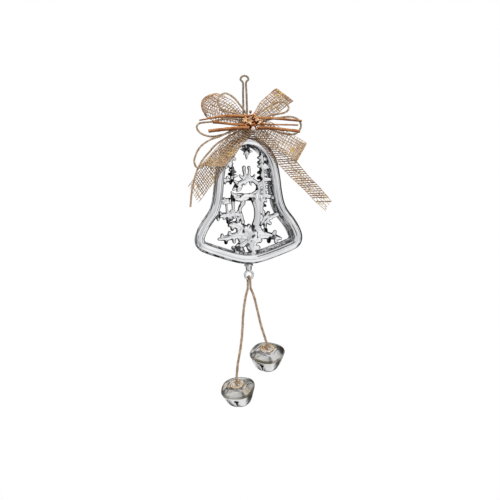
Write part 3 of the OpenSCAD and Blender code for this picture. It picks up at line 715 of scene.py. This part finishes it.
def twig(name, points, radii, seed):
    """A knobbly stick with cut ends."""
    rng = random.Random(seed)
    line = even(spline(points, 10), 0.45)
    n, sides = len(line), 14
    t, u, w = carried_frames(line)
    base = np.interp(np.linspace(0, 1, n), np.linspace(0, 1, len(radii)), radii)
    a = np.arange(sides) * 2 * np.pi / sides
    ph = [rng.uniform(0, 6.28) for _ in range(5)]
    rows = np.arange(n)[:, None]
    bumpy = (1 + 0.09 * np.sin(3 * a + ph[0] + rows * 0.07) + 0.06 * np.sin(5 * a + ph[1])
             + 0.05 * np.sin(rows * 0.35 + ph[2]) * np.sin(2 * a + ph[3]))
    for _ in range(3):
        at, da = rng.uniform(0.15, 0.9) * n, rng.uniform(0, 6.28)
        bumpy = bumpy + 0.28 * np.exp(-((rows - at) / 2.2) ** 2) * np.maximum(np.cos(a - da), 0)
    r = base[:, None] * bumpy
    grid = line[:, None] + (u[:, None] * np.cos(a)[None, :, None]
                            + w[:, None] * np.sin(a)[None, :, None]) * r[..., None]
    build = Parts()
    build.sheet_of(grid, wrap=True)
    for row, way in ((0, -1), (n - 1, 1)):
        ring = grid[row]
        mid = ring.mean(axis=0)
        inner = mid + (ring - mid) * 0.6 + t[row] * way * 0.12
        cap = np.stack([ring, inner, np.repeat((mid - t[row] * way * 0.1)[None], sides, 0)])
        build.sheet_of(cap, wrap=True, mat=1)
    build.done(name, [TWIG, TWIG_END], "ornament", "twig_bark", weld=2 * WELD)


twig("twig_left_top", [(-3, -20.4, -33.4), (-14, -20.6, -32.8), (-28, -20.4, -33.2),
                       (-43, -20.2, -35.4)], (1.35, 1.2, 0.9, 0.55), 41)
twig("twig_left_middle", [(-3, -20.6, -40), (-14, -20.8, -39.4), (-24, -20.4, -38),
                          (-32, -20.2, -36.9)], (1.2, 1.15, 1.0, 1.2), 42)
twig("twig_left_low", [(-3.4, -22, -42.4), (-12, -22.2, -42.2), (-24, -22, -43),
                       (-36, -21.8, -44.2)], (1.5, 1.4, 1.3, 1.35), 43)
twig("twig_right_top", [(5.6, -20.4, -35), (17, -20.5, -35.4), (30, -20.3, -36.6),
                        (41, -20.2, -37.9)], (1.2, 1.0, 0.95, 0.9), 44)
twig("twig_right_middle", [(6, -20.4, -39.8), (18, -20.2, -40.3), (38, -20.4, -41.1)],
     (0.75, 0.6, 0.6), 45)
twig("twig_right_low", [(4.6, -21.4, -42.4), (16, -21.6, -43.2), (28, -21.3, -44.8),
                        (39, -21.4, -46.3)], (1.45, 1.25, 1.2, 1.2), 46)


def husk(build, at, way, size, mat, rng):
    """A dry husk: a crumpled star of blunt lobes round a sunken middle, thick enough to hold."""
    n = unit(way)
    s1 = unit(np.cross(n, (0.3, 0.1, 1)))
    s2 = np.cross(n, s1)
    lobes, ph = rng.choice((4, 5)), rng.uniform(0, 6.28)
    wig = [rng.uniform(-0.16, 0.16) for _ in range(4)]
    rows, cols = 12, 30
    grid = np.zeros((rows, cols, 3))
    for i in range(rows):
        e = math.pi * (i / (rows - 1) - 0.5)
        for k in range(cols):
            a = 2 * math.pi * k / cols
            star = 1 + 0.3 * math.cos(lobes * a + ph) + wig[0] * math.cos(2 * a) \
                + wig[1] * math.sin(3 * a) + 0.06 * math.sin(9 * a + 5 * e)
            r = size * star * math.cos(e) ** 0.8
            sunk = 0.75 * math.exp(-(math.cos(e) / 0.45) ** 2) if e > 0 else 0
            up = size * (0.62 * math.sin(e) - sunk * 0.6 + 0.22 * (r / size) ** 2)
            grid[i, k] = at + (s1 * math.cos(a) + s2 * math.sin(a)) * r + n * up
    build.sheet_of(grid, wrap=True, mat=mat)


def seeds():
    """The cluster: big husks, smaller ones and seeds behind them, and one pale seed."""
    rng = random.Random(77)
    middle = np.array([-0.6, -19.6, -37.8])
    flower, husks, pale = Parts(), Parts(), Parts()
    # A flat dark middle behind the husks, painted shade for the gaps between them.
    flower.ball(middle + (0, -0.2, 0), (6.2, 1.9, 5.0), 10, 20, mat=2)
    for x, z, size, mat in ((-2.4, -37.2, 2.7, 1), (3.0, -35.6, 2.3, 1), (0.6, -40.2, 2.0, 0),
                            (-5.4, -36.0, 2.1, 1), (5.2, -40.0, 2.2, 1)):
        lean = np.array([x - middle[0], -5.5, z - middle[2]])
        husk(flower, np.array([x, -22.0, z]), lean, size, mat, rng)
    for x, z, size, mat in ((-6.2, -40.0, 1.9, 0), (6.6, -35.2, 1.9, 1), (8.0, -38.6, 1.7, 0),
                            (-1.2, -33.4, 1.7, 1), (-3.4, -42.4, 1.7, 1), (4.0, -43.2, 1.6, 1),
                            (1.8, -32.6, 1.5, 0), (-4.6, -33.0, 1.5, 0), (9.4, -35.6, 1.2, 0)):
        lean = np.array([x - middle[0], -4.5, z - middle[2]])
        husk(husks, np.array([x, -20.6, z]), lean, size, mat, rng)
    # Small seeds behind the husks, mostly dark: painted shade in the gaps.
    for _ in range(34):
        a, d = rng.uniform(0, 6.28), rng.uniform(0.5, 1)
        r = rng.uniform(0.5, 0.95)
        husks.ball((middle[0] + 7.4 * d * math.cos(a), -20.6 - rng.uniform(0, 1.2),
                    middle[2] + 5.8 * d * math.sin(a)), (r, r * 0.9, r * 0.8), 6, 9,
                   mat=rng.choice((2, 2, 2, 1)))
    husks.ball((-0.9, -19.6, -29.6), (1.25, 1.2, 1.25), 10, 16, mat=3)
    husks.tube(spline([(-0.9, -19.6, -30.4), (-1.4, -19.8, -32), (-1.8, -19.8, -34)], 6), 0.42, 8)
    pale.ball((0.4, -22.4, -43.6), (1.75, 1.6, 2.0), 14, 20)
    pale.ball((0.1, -23.2, -42.4), (1.1, 0.9, 1.0), 10, 14)
    flower.done("dried_flower", [WOODY, HUSK, GAP_SHADE], "ornament", "dried_wood", WELD)
    husks.done("seed_husks", [WOODY, HUSK, GAP_SHADE, GREY_SEED], "ornament", "seed_husk", WELD)
    pale.done("pale_seed", [PALE], "ornament", "seed_husk", WELD)


seeds()

# ---------------------------------------------------------------- bell casting

RIM_HALF = [(0, -52.6), (8.5, -54.6), (15, -60), (19, -66), (21.5, -73), (23.2, -83), (24.4, -94),
            (26.2, -103.5), (29.2, -110.5), (35.4, -119), (39.2, -126), (40.5, -131.5),
            (38.4, -136.2), (30.5, -139.8), (17, -144.4), (7, -147.1), (0, -147.8)]
RIM_SECTION = [(0.02, -0.5), (0.3, -0.46), (0.49, -0.34), (0.54, -0.15), (0.48, 0.1), (0.2, 0.42),
               (0, 0.5), (-0.64, 0.5), (-0.73, 0.46), (-0.68, 0.1), (-0.46, -0.36), (-0.3, -0.46)]
RIM_BAND, RIM_DEPTH = 7.2, 13.0


def rim():
    """The casting's rim: the section carried round the bell's outline."""
    right = spline(RIM_HALF, 14)
    line = even(np.vstack([right, right[-2:0:-1] * (-1, 1), right[:1]]), 0.7)[:-1]
    d = np.roll(line, -1, axis=0) - np.roll(line, 1, axis=0)
    for _ in range(3):
        d = (np.roll(d, 1, axis=0) + 2 * d + np.roll(d, -1, axis=0)) / 4
    d /= np.linalg.norm(d, axis=1, keepdims=True)
    sec = spline(np.array([(a * RIM_BAND, b * RIM_DEPTH) for a, b in RIM_SECTION]), 5, closed=True)
    grid = np.zeros((len(line), len(sec), 3))
    grid[..., 0] = line[:, None, 0] - d[:, None, 1] * sec[None, :, 0]
    grid[..., 1] = sec[None, :, 1]
    grid[..., 2] = line[:, None, 1] + d[:, None, 0] * sec[None, :, 0]
    build = Parts()
    build.sheet_of(grid, wrap=True, wrap_rows=True)
    build.done("bell_rim", [CASTING], "ornament", "polished_casting", WELD)


rim()


RELIEF_Y, RELIEF_GROW = -0.8, 0.25


def relief(name, strokes, lumps=()):
    """Rounded strokes of x, z, radius as a softly puffed relief, melted together."""
    build = Parts()
    for stroke in strokes:
        p = np.asarray(stroke, float)
        dense = spline(p, 8) if len(p) > 2 else np.linspace(p[0], p[-1], 9)
        gaps = np.linalg.norm(np.diff(dense[:, :2], axis=0), axis=1)
        run = np.concatenate([[0], np.cumsum(gaps)])
        step = max(0.25, 0.3 * float(np.min(dense[:, 2])))
        s = np.linspace(0, run[-1], max(2, int(run[-1] / step) + 1))
        for x, z, r in np.stack([np.interp(s, run, dense[:, k]) for k in range(3)], axis=1):
            r = max(r + RELIEF_GROW, 0.3)
            build.ball((x, RELIEF_Y, z), (r, min(0.75 + 0.5 * r, 2.1), r), 6, 10)
    for x, z, rx, ry, rz in lumps:
        build.ball((x, RELIEF_Y, z), (rx, ry, rz), 10, 16)
    build.done(name, [FRET], "ornament", "polished_casting", melt=(0.26, 5))


relief("star", [[(-0.6, -54.6, 1.2), (-0.3, -58, 1.0), (0.2, -61, 1.9)],
                [(0.2, -61, 2.0), (0.1, -64, 1.3), (0, -67.4, 0.35)],
                [(-4.4, -59.6, 0.4), (-1.6, -60.3, 1.3), (0.2, -61, 2.0), (2, -61.3, 1.2),
                 (4.6, -61.6, 0.4)],
                [(-2.6, -57.8, 0.5), (0.2, -61, 1.6), (2.6, -58.4, 0.5)],
                [(-2, -63.6, 0.4), (0.2, -61, 1.5), (2.2, -63.4, 0.4)]],
       lumps=[(0.2, -61, 1.9, 2.1, 1.9)])

relief("reindeer", [
    [(-11.4, -97.4, 2.6), (-7, -98.2, 3.0), (0, -98, 2.8), (5, -98, 3.4), (7.6, -98.6, 3.8)],
    [(-11.4, -96.4, 1.8), (-12.6, -94.8, 0.9), (-13.2, -93.4, 0.4)],
    [(7.6, -97.4, 3.4), (9.4, -92, 2.2), (8.8, -88.4, 1.7), (5.8, -85.4, 1.5),
     (2, -84.4, 1.5), (-1.6, -85, 1.7), (-5, -86.4, 2.0)],
    [(-4.6, -86.6, 1.9), (-7.6, -88.4, 2.7), (-9.6, -90.2, 1.9), (-11.6, -91.8, 0.7)],
    [(-7.4, -87.4, 1.7), (-9.8, -85.6, 1.2), (-11.6, -84.2, 0.4)],
    [(-5.4, -89, 1.6), (-6.2, -91.4, 1.2), (-8.4, -93.2, 0.5)],
    [(-2.3, -74.2, 1.4), (-2.3, -77, 1.2), (-1.5, -80.4, 1.2), (-0.3, -84.2, 1.3)],
    [(-1.5, -80.4, 1.2), (-3, -82.2, 1.2), (-4.8, -81.8, 1.0), (-6, -80.4, 0.6)],
    [(1.7, -74.4, 1.2), (2.1, -77, 1.0), (1.7, -80, 1.1), (0.9, -84.2, 1.2)],
    [(1.5, -80.8, 1.1), (3.3, -82.6, 1.1), (5.2, -82.2, 1.0), (6.2, -80.6, 0.6)],
    [(-1.4, -85, 1.1), (-1.2, -87.0, 0.8), (-2.1, -88.1, 0.4)],
    [(3.2, -85.4, 1.0), (2.8, -87.2, 0.8), (3.4, -88.3, 0.4)],
    [(-11.4, -98.4, 2.2), (-12.2, -101.6, 1.5), (-11.9, -105, 1.2), (-11.7, -109, 1.2),
     (-11.0, -112, 1.7)],
    [(-4.6, -99.6, 2.2), (-3.7, -102.6, 1.9), (-6.0, -105.8, 1.5), (-6.6, -109, 1.4),
     (-5.6, -113, 1.6), (-4.6, -118, 2.0)],
    [(6.6, -100, 3.8), (8.0, -105, 3.3), (8.4, -110, 3.0), (8.0, -116, 3.2), (6.6, -121, 3.6)]],
    lumps=[(-6.4, -98, 7.0, 2.3, 3.5), (7.0, -97.8, 4.6, 2.4, 4.6)])


def frill(path, radius, seed, every=2.4, out=1.5):
    """Strokes for a leafy edge: blunt lobes on both sides of a path of x, z, r."""
    rng = random.Random(seed)
    p = spline(np.asarray(path, float), 8)
    line = even(np.column_stack([p[:, 0], p[:, 2] * 0, p[:, 1]]), 0.3)
    width = np.interp(np.linspace(0, 1, len(line)), np.linspace(0, 1, len(p)), p[:, 2])
    strokes, i, side = [[tuple(q) for q in path]], 4, 1
    while i < len(line) - 2:
        d = unit(line[i + 1] - line[i - 1])
        n = np.array([-d[2], 0, d[0]]) * side
        w = width[i]
        tip = line[i] + n * (w + out * rng.uniform(0.5, 1.0)) + d * rng.uniform(-0.2, 0.6) * out
        strokes.append([(line[i][0], line[i][2], w * 0.8),
                        (tip[0], tip[2], radius * rng.uniform(0.7, 1.1))])
        side = -side
        i += int(every * rng.uniform(0.6, 1.0) / 0.3)
    return strokes


flake = frill([(7, -122, 4.0), (5, -127, 5.2), (3.4, -132, 5.2), (2, -137, 4.0),
               (4, -142, 3.4), (5.2, -146.4, 3.2)], 1.9, 1, 5.6, 1.9)
flake += frill([(1.6, -129, 4.0), (-4, -128.6, 3.0), (-10, -128.6, 2.6), (-17, -130, 2.2),
                (-24.4, -131, 1.0)], 1.5, 2, 4.4, 2.0)
flake += frill([(5, -129, 3.8), (10, -128.8, 3.2), (16, -129.4, 2.8), (21.6, -130.6, 2.2),
                (27, -132.2, 1.0)], 1.6, 3, 4.6, 1.9)
flake += frill([(2, -127, 3.8), (-3, -123.8, 3.4), (-8.4, -120.6, 3.2), (-12.4, -119.6, 2.4),
                (-15.4, -120.2, 1.4)], 1.4, 4, 4.8, 1.7)
flake += frill([(0.4, -133, 3.4), (-4.6, -135.4, 2.8), (-8.2, -138, 2.8), (-9.6, -142.6, 2.6),
                (-10.6, -146.2, 2.4)], 1.6, 5, 4.6, 1.9)
flake += [[(-9, -120, 1.8), (-8, -115, 1.4), (-5, -113.6, 1.3)]]
relief("large_snowflake", flake, lumps=[(3.8, -129.4, 7.2, 2.4, 6.4)])

relief("left_snowflake", frill([(-28.2, -112.4, 1.9), (-24.2, -113, 1.5), (-20, -111.6, 1.7),
                                (-16.4, -112.6, 2.0), (-12, -111.4, 1.6), (-6.4, -112.2, 1.2)],
                               1.2, 6, 3.2, 1.5)
       + [[(-17, -111.2, 1.4), (-16.2, -117.4, 1.6)],
          [(-17, -110, 0.9), (-17.5, -105, 0.7), (-17.2, -100, 1.6)],
          [(-14.6, -98.8, 0.6), (-17.2, -100.6, 1.6), (-20, -102.6, 0.7)],
          [(-14.8, -102.4, 0.6), (-17.2, -100.6, 1.6), (-19.6, -98.4, 0.7)],
          [(-17.2, -101, 1.1), (-23.8, -99.6, 0.8)]])

rosette = [[(18.4, -114.6, 1.6), (24.8, -112.4, 1.8)]]
for k in range(8):
    a = math.radians(k * 45 + 8)
    c, s = math.cos(a), math.sin(a)
    rosette.append([(13.4 + 1.4 * c, -116 + 1.4 * s, 1.0), (13.4 + 3.4 * c, -116 + 3.4 * s, 1.6),
                    (13.4 + 6.2 * c, -116 + 6.2 * s, 1.3)])
relief("right_snowflake", rosette, lumps=[(13.4, -116, 3.2, 1.9, 3.2)])

relief("left_garland", frill([(-21.4, -71.2, 1.5), (-17, -70.4, 1.9), (-13.6, -68.4, 1.9),
                              (-10.6, -65.2, 0.7)], 1.3, 8, 3.0, 1.6)
       + frill([(-14.6, -72, 1.6), (-11.8, -75, 1.4), (-12.2, -79, 1.3), (-12.6, -83.4, 1.6)],
               1.1, 9, 3.2, 1.3)
       + frill([(-12.4, -84, 1.6), (-17, -84.2, 1.4), (-21.4, -83.4, 1.5)], 1.0, 10, 3.2, 1.2)
       + [[(-11.8, -80, 1.0), (-8.2, -80.8, 0.7)]])

garland = frill([(12.2, -62.8, 1.4), (12.8, -68, 2.0), (12.6, -74, 2.0), (12.8, -80, 2.1),
                 (13.2, -86, 1.9), (14.0, -92, 1.6), (13.8, -98, 1.9), (11.6, -103.6, 1.9),
                 (10.8, -110, 2.0)], 1.15, 11, 2.9, 1.5)
garland += [[(13, -87, 1.6), (9.4, -90, 1.1), (9.8, -96, 1.4), (11.4, -99.6, 1.6)],
            [(13.6, -98.4, 1.6), (18, -98, 1.8), (23.4, -99.8, 1.5)],
            [(14, -74, 2.0), (20.4, -74.4, 1.8)], [(14, -84, 1.8), (21.6, -84.6, 1.8)],
            [(15, -67, 1.5), (18.6, -68, 1.4)]]
relief("right_garland", garland)


def eye_casting(name, z, foot, way):
    """A cast eye on a short stem: melted torus, neck and flange."""
    build = Parts()
    a = np.linspace(0, 2 * np.pi, 41)
    ring = np.stack([EYE_R * np.cos(a), np.zeros(41), z + EYE_R * np.sin(a)], axis=1)
    build.tube(ring, EYE_WIRE, 16, caps=False)
    neck = [(0, 0, z + way * (EYE_R + 0.2)), (0, 0, z + way * (EYE_R + 1.4)),
            (0, 0, foot - way * 1.6), (0, 0, foot)]
    build.tube(spline(neck, 4), [1.6] + [2.2] * 3 + [2.5] * 4 + [2.7] * 4 + [3.4], 20)
    build.ball((0, 0, foot - way * 1.2), (3.9, 3.0, 1.2), 10, 20)
    build.done(name, [CASTING], "ornament", "polished_casting", melt=(0.18, 3))


eye_casting("top_eye", TOP_EYE_Z, -49.8, -1)
eye_casting("bottom_eye", LOW_EYE_Z, -151.4, 1)

# ---------------------------------------------------------------- jingle bells

BELL_R, BELL_H, NECK = 14.0, 21.0, 2.4
CREASE, CREASE_ROWS = 4.5, 20
HOLE_Z, HOLE_R, SLOT_HALF = 0.3, 2.0, 0.85
# Radius share and height of the shallow cap, from the crater's bottom to the crease.
CAP_PROFILE = [(0.1, 8.2), (0.22, 8.25), (0.3, 8.4), (0.34, 8.8), (0.38, 9.2), (0.45, 9.2),
               (0.6, 8.5), (0.74, 7.3), (0.87, 6.0), (0.965, 5.0), (1.01, 4.75), (1.03, 4.5),
               (1.0, 4.15)]
# Radius share, and share of the way down, of the tapering cup.
CUP_HALF = [(0.995, 0), (0.97, 0.12), (0.895, 0.36), (0.79, 0.6), (0.68, 0.79), (0.5, 0.93),
            (0.3, 0.99), (0.1, 1)]


def bell_turn(tilt, yaw):
    """Tips a bell forward, then turns it round."""
    t, y = math.radians(tilt), math.radians(yaw)
    rx = np.array([[1, 0, 0], [0, math.cos(t), -math.sin(t)], [0, math.sin(t), math.cos(t)]])
    rz = np.array([[math.cos(y), -math.sin(y), 0], [math.sin(y), math.cos(y), 0], [0, 0, 1]])
    return rz @ rx


def squarish(b):
    """Radius share of a rounded square at angle b, with its flats on the slots."""
    power = 2.5
    return (np.abs(np.cos(b)) ** power + np.abs(np.sin(b)) ** power) ** (-1 / power) / 1.07


def bell_cap(start, seed):
    """The shallow upper shell with its crater, and a pressed crease at its edge, with painted shade just
    above the crease.
    """
    cap = Parts()
    b = np.linspace(0, 2 * np.pi, 128, endpoint=False)
    prof = spline(CAP_PROFILE, 5)
    edges = []
    for inset, mat, crease, flip in ((0.0, 0, 2, True), (0.7, 1, 1, False)):
        grid = np.zeros((len(prof), len(b), 3))
        for i, (share, z) in enumerate(prof):
            square = 1 + (squarish(b + start) - 1) * min(1, max(0, share - 0.35) * 1.9)
            lobes = 0.2 * np.cos(4 * (b + start) + 0.6) * math.exp(-((share - 0.7) / 0.2) ** 2) \
                + 0.25 * np.cos(2 * b + seed) * math.exp(-((share - 0.8) / 0.2) ** 2)
            rad = share * BELL_R * square - inset * max(share, 0.2)
            grid[i, :, 0] = rad * np.cos(b)
            grid[i, :, 1] = rad * np.sin(b)
            grid[i, :, 2] = z - lobes - inset * (1.05 - share)
        # The outer layer's last CREASE_ROWS rows take material 2, the darker nickel: painted shade above
        # the crease.
        lip = len(grid) - CREASE_ROWS
        cap.sheet_of(grid[:lip + 1], wrap=True, mat=mat, flip=flip)
        cap.sheet_of(grid[lip:], wrap=True, mat=crease, flip=flip)
        edges.append(grid[-1])
    cap.sheet_of(np.stack(edges), wrap=True)
    return cap


def cup_quarter(zs, low, q, start):
    """A quarter of the cup's outside, between two slots with round ends."""
    rows = []
    for z in zs:
        hole = max(0.0, HOLE_R ** 2 - (z - HOLE_Z) ** 2) ** 0.5
        slit = float(np.interp(z, (-9.0, -2.0), (0.3, SLOT_HALF)))
        half = hole if z > HOLE_Z else max(hole, slit)
        down = (CREASE - 0.35 - z) / (BELL_H / 2 + CREASE - 0.4)
        radius = max(float(np.interp(down, low[:, 1], low[:, 0])) * BELL_R, 1.2)
        edge = math.asin(min(0.95, half / max(radius, half * 1.06)))
        a = np.linspace(edge, np.pi / 2 - edge, 25)
        puff = 1 + (squarish(a) - 1) * (1 - 0.5 * down)
        near = (np.exp(-((a - edge) / 0.14) ** 2)
                + np.exp(-((np.pi / 2 - edge - a) / 0.14) ** 2))
        rr = radius * puff * (1 - 0.045 * near * down)
        ang = a + q * np.pi / 2 - start
        rows.append(np.stack([rr * np.cos(ang), rr * np.sin(ang), np.full(25, z)], axis=1))
    return np.array(rows)


def bell_cup(start):
    """The lower shell, open along its crossed slots."""
    cup = Parts()
    low = spline(CUP_HALF, 6)
    zs = np.concatenate([np.linspace(CREASE - 0.35, HOLE_Z + HOLE_R, 8)[:-1],
                         HOLE_Z + HOLE_R * np.cos(np.linspace(0, np.pi * 0.87, 17)),
                         np.linspace(HOLE_Z - HOLE_R - 0.1, -10.45, 30)])
    for q in range(4):
        grid = cup_quarter(zs, low, q, start)
        nrm = np.cross(np.gradient(grid, axis=0), np.gradient(grid, axis=1))
        nrm /= np.maximum(np.linalg.norm(nrm, axis=-1, keepdims=True), 1e-9)
        outward = np.sign((nrm * (grid + (0, 0, 4))).sum(-1).mean())
        inner = grid - nrm * outward * 0.75
        inner[0, :, 2] = grid[0, :, 2]
        cup.sheet_of(grid)
        cup.sheet_of(inner, mat=1, flip=True)
        slotted = slice(7, None)
        for side in (0, -1):
            cup.sheet_of(np.stack([grid[slotted, side], inner[slotted, side]], axis=1))
        for row in (-1, 0):
            cup.sheet_of(np.stack([grid[row], inner[row]], axis=1))
    return cup


def bell_glue(seed):
    """The glue's ring and pool in the crater."""
    glue = Parts()
    for k in range(30):
        a = 2 * math.pi * k / 30
        glue.ball((4.7 * math.cos(a), 4.7 * math.sin(a), 9.6 + 0.3 * math.sin(2 * a + seed)),
                  (1.1 + 0.35 * math.sin(3 * a + seed), 1.1, 0.7), 6, 10)
    glue.ball((0, 0, 8.9), (4.7, 4.7, 0.7), 8, 16)
    glue.ball((1.9, -1.5, 9.9), (1.7, 1.4, 0.9), 6, 10)
    return glue


def bell_knot(seed):
    """A trefoil knot with stray fibres, sunk in the glue."""
    knot = Parts()
    rng = random.Random(seed)
    a = np.linspace(0, 2 * np.pi, 40)
    trefoil = np.stack([0.95 * (np.sin(a) + 0.9 * np.sin(2 * a)),
                        0.95 * (np.cos(a) - 0.9 * np.cos(2 * a)), 10.7 - 0.55 * np.sin(3 * a)],
                       axis=1)
    line = even(np.vstack([[(0, 0, 12.9)], spline(trefoil, 2), [(0.3, 0.2, 7.6)]]), 0.3)
    knot.strands(line, 4.5, 0.36, [0.42] * 3)
    _, u, w = carried_frames(line)
    for _ in range(26):
        i = rng.randrange(4, len(line) - 4)
        out = unit(u[i] * rng.uniform(-1, 1) + w[i] * rng.uniform(-1, 1) + (0, 0, 0.5))
        q = [line[i], line[i] + out * 1.2, line[i] + out * 2 + (0, 0, rng.uniform(-0.3, 0.5))]
        knot.tube(spline(q, 3), np.linspace(0.07, 0.03, 7), 3, 1, caps=False)
    return knot


def jingle(side, pin, tilt, yaw, roll, seed):
    """One jingle bell, hung by its pin: tipped forward, turned, and rolled on its own axis."""
    turn, start = bell_turn(tilt, yaw), math.radians(roll)
    centre = np.array([0, 0, -NECK - BELL_H / 2])

    def put(build, part, mats, slot, body="_bell", **how):
        build.v = [(v + centre) @ turn.T + np.asarray(pin, float) for v in build.v]
        build.done(side + "_bell_" + part, mats, side + body, slot, **how)

    put(bell_cap(start, seed), "cap", [NICKEL_CAP, INSIDE, NICKEL_CREASE_SHADE], "jingle_nickel", weld=WELD)
    put(bell_cup(start), "cup", [NICKEL, INSIDE], "jingle_nickel", weld=WELD)
    pellet = Parts()
    pellet.ball((0, 0, -6), (3, 3, 3), 14, 20)
    put(pellet, "pellet", [INSIDE], "pellet_steel", "_pellet")
    put(bell_glue(seed), "glue", [GLUE], "hot_glue", melt=(0.22, 6))
    put(bell_knot(seed), "knot", [JUTE, FIBRE], "jute_twine")


jingle("left", LEFT_PIN, 36, -27, 0, 1)
jingle("right", RIGHT_PIN, 34, -15, 24, 2)

# ---------------------------------------------------------------- floor and studio

MIDDLE, LAMP_SIZE = Vector((0, 0, -0.12)), 0.9
FLOOR_Z, FLOOR_HALF, FLOOR_LEVEL = -0.46, 0.45, 0.97


def pale_floor():
    """A pale square under the ornament, unseen by its metal."""
    mat = bpy.data.materials.new("floor_pale")
    mat.use_nodes = True
    mat.node_tree.nodes.clear()
    glow = node(mat.node_tree, "Emission", {"Color": (FLOOR_LEVEL, FLOOR_LEVEL, FLOOR_LEVEL, 1)})
    node(mat.node_tree, "OutputMaterial", {"Surface": glow.outputs[0]})
    mesh = bpy.data.meshes.new("floor")
    corners = [(x * FLOOR_HALF, y * FLOOR_HALF, 0) for x, y in ((-1, -1), (1, -1), (1, 1), (-1, 1))]
    mesh.from_pydata(corners, [], [(0, 1, 2, 3)])
    mesh.materials.append(mat)
    ob = bpy.data.objects.new("floor", mesh)
    scene.collection.objects.link(ob)
    ob.location.z = FLOOR_Z
    ob.visible_glossy = False


pale_floor()
world = bpy.data.worlds.new("studio")
scene.world = world
world.use_nodes = True
studio = world.node_tree
studio.nodes.clear()
where = node(studio, "TexCoord").outputs["Generated"]


def sky(level):
    """An even white studio of some brightness."""
    return node(studio, "Background", {"Color": (1, 1, 1, 1), "Strength": level}).outputs[0]


def toward(value, azimuth, elevation, inner, outer, level):
    """Eases the mirrored studio to level round one direction, in degrees."""
    spot = node(studio, "VectorMath", {0: where, 1: around(azimuth, elevation)},
                operation="DOT_PRODUCT").outputs["Value"]
    ease = node(studio, "MapRange", {"Value": spot, "From Min": math.cos(math.radians(outer)),
                                     "From Max": math.cos(math.radians(inner))},
                interpolation_type="SMOOTHSTEP").outputs["Result"]
    return node(studio, "Mix", {"Factor": ease, "A": value, "B": level}).outputs["Result"]


# Light for the metal to mirror: soft patches, with these parts of the room set dark or bright.
# Each is an azimuth, an elevation, the degrees at which it is full and gone, and its level.
CARDS = ((110, 0, 34, 56, 0.06), (-120, -4, 20, 44, 0.1), (178, -42, 8, 20, 0.1),
         (-15, -80, 30, 55, 0.9), (-15, 5, 18, 48, 0.72), (20, 38, 16, 34, 1.0),
         (15, -36, 12, 26, 1.0), (-15, -14, 4, 11, 0.1), (0, 30, 7, 15, 0.15))
clutter = node(studio, "TexNoise", {"Scale": 2.6, "Detail": 1.0, "Vector": where}).outputs["Fac"]
room = node(studio, "MapRange", {"Value": clutter, "From Min": 0.45, "From Max": 0.53,
                                 "To Min": 0.08, "To Max": 1.05},
            interpolation_type="SMOOTHSTEP").outputs["Result"]
for card in CARDS:
    room = toward(room, *card)
ray = node(studio, "LightPath").outputs
lit = node(studio, "MixShader", {"Fac": ray["Is Glossy Ray"], 1: sky(0.6), 2: sky(room)})
shown = node(studio, "MixShader", {"Fac": ray["Is Camera Ray"], 1: lit.outputs[0], 2: sky(1.0)})
node(studio, "OutputWorld", {"Surface": shown.outputs[0]})
scene.view_settings.view_transform = "Standard"


def lamp(name, azimuth, elevation, distance, power):
    """A square soft box, turned to the ornament and unseen by its metal."""
    way = Vector(around(azimuth, elevation))
    data = bpy.data.lights.new(name, "AREA")
    data.size, data.energy = LAMP_SIZE, power
    ob = bpy.data.objects.new(name, data)
    scene.collection.objects.link(ob)
    ob.location = MIDDLE + way * distance
    ob.rotation_mode = "QUATERNION"
    ob.rotation_quaternion = way.to_track_quat("Z", "Y")
    ob.visible_glossy = False


lamp("key", -35, 52, 1.3, 17)
lamp("fill", 55, 20, 1.4, 5)
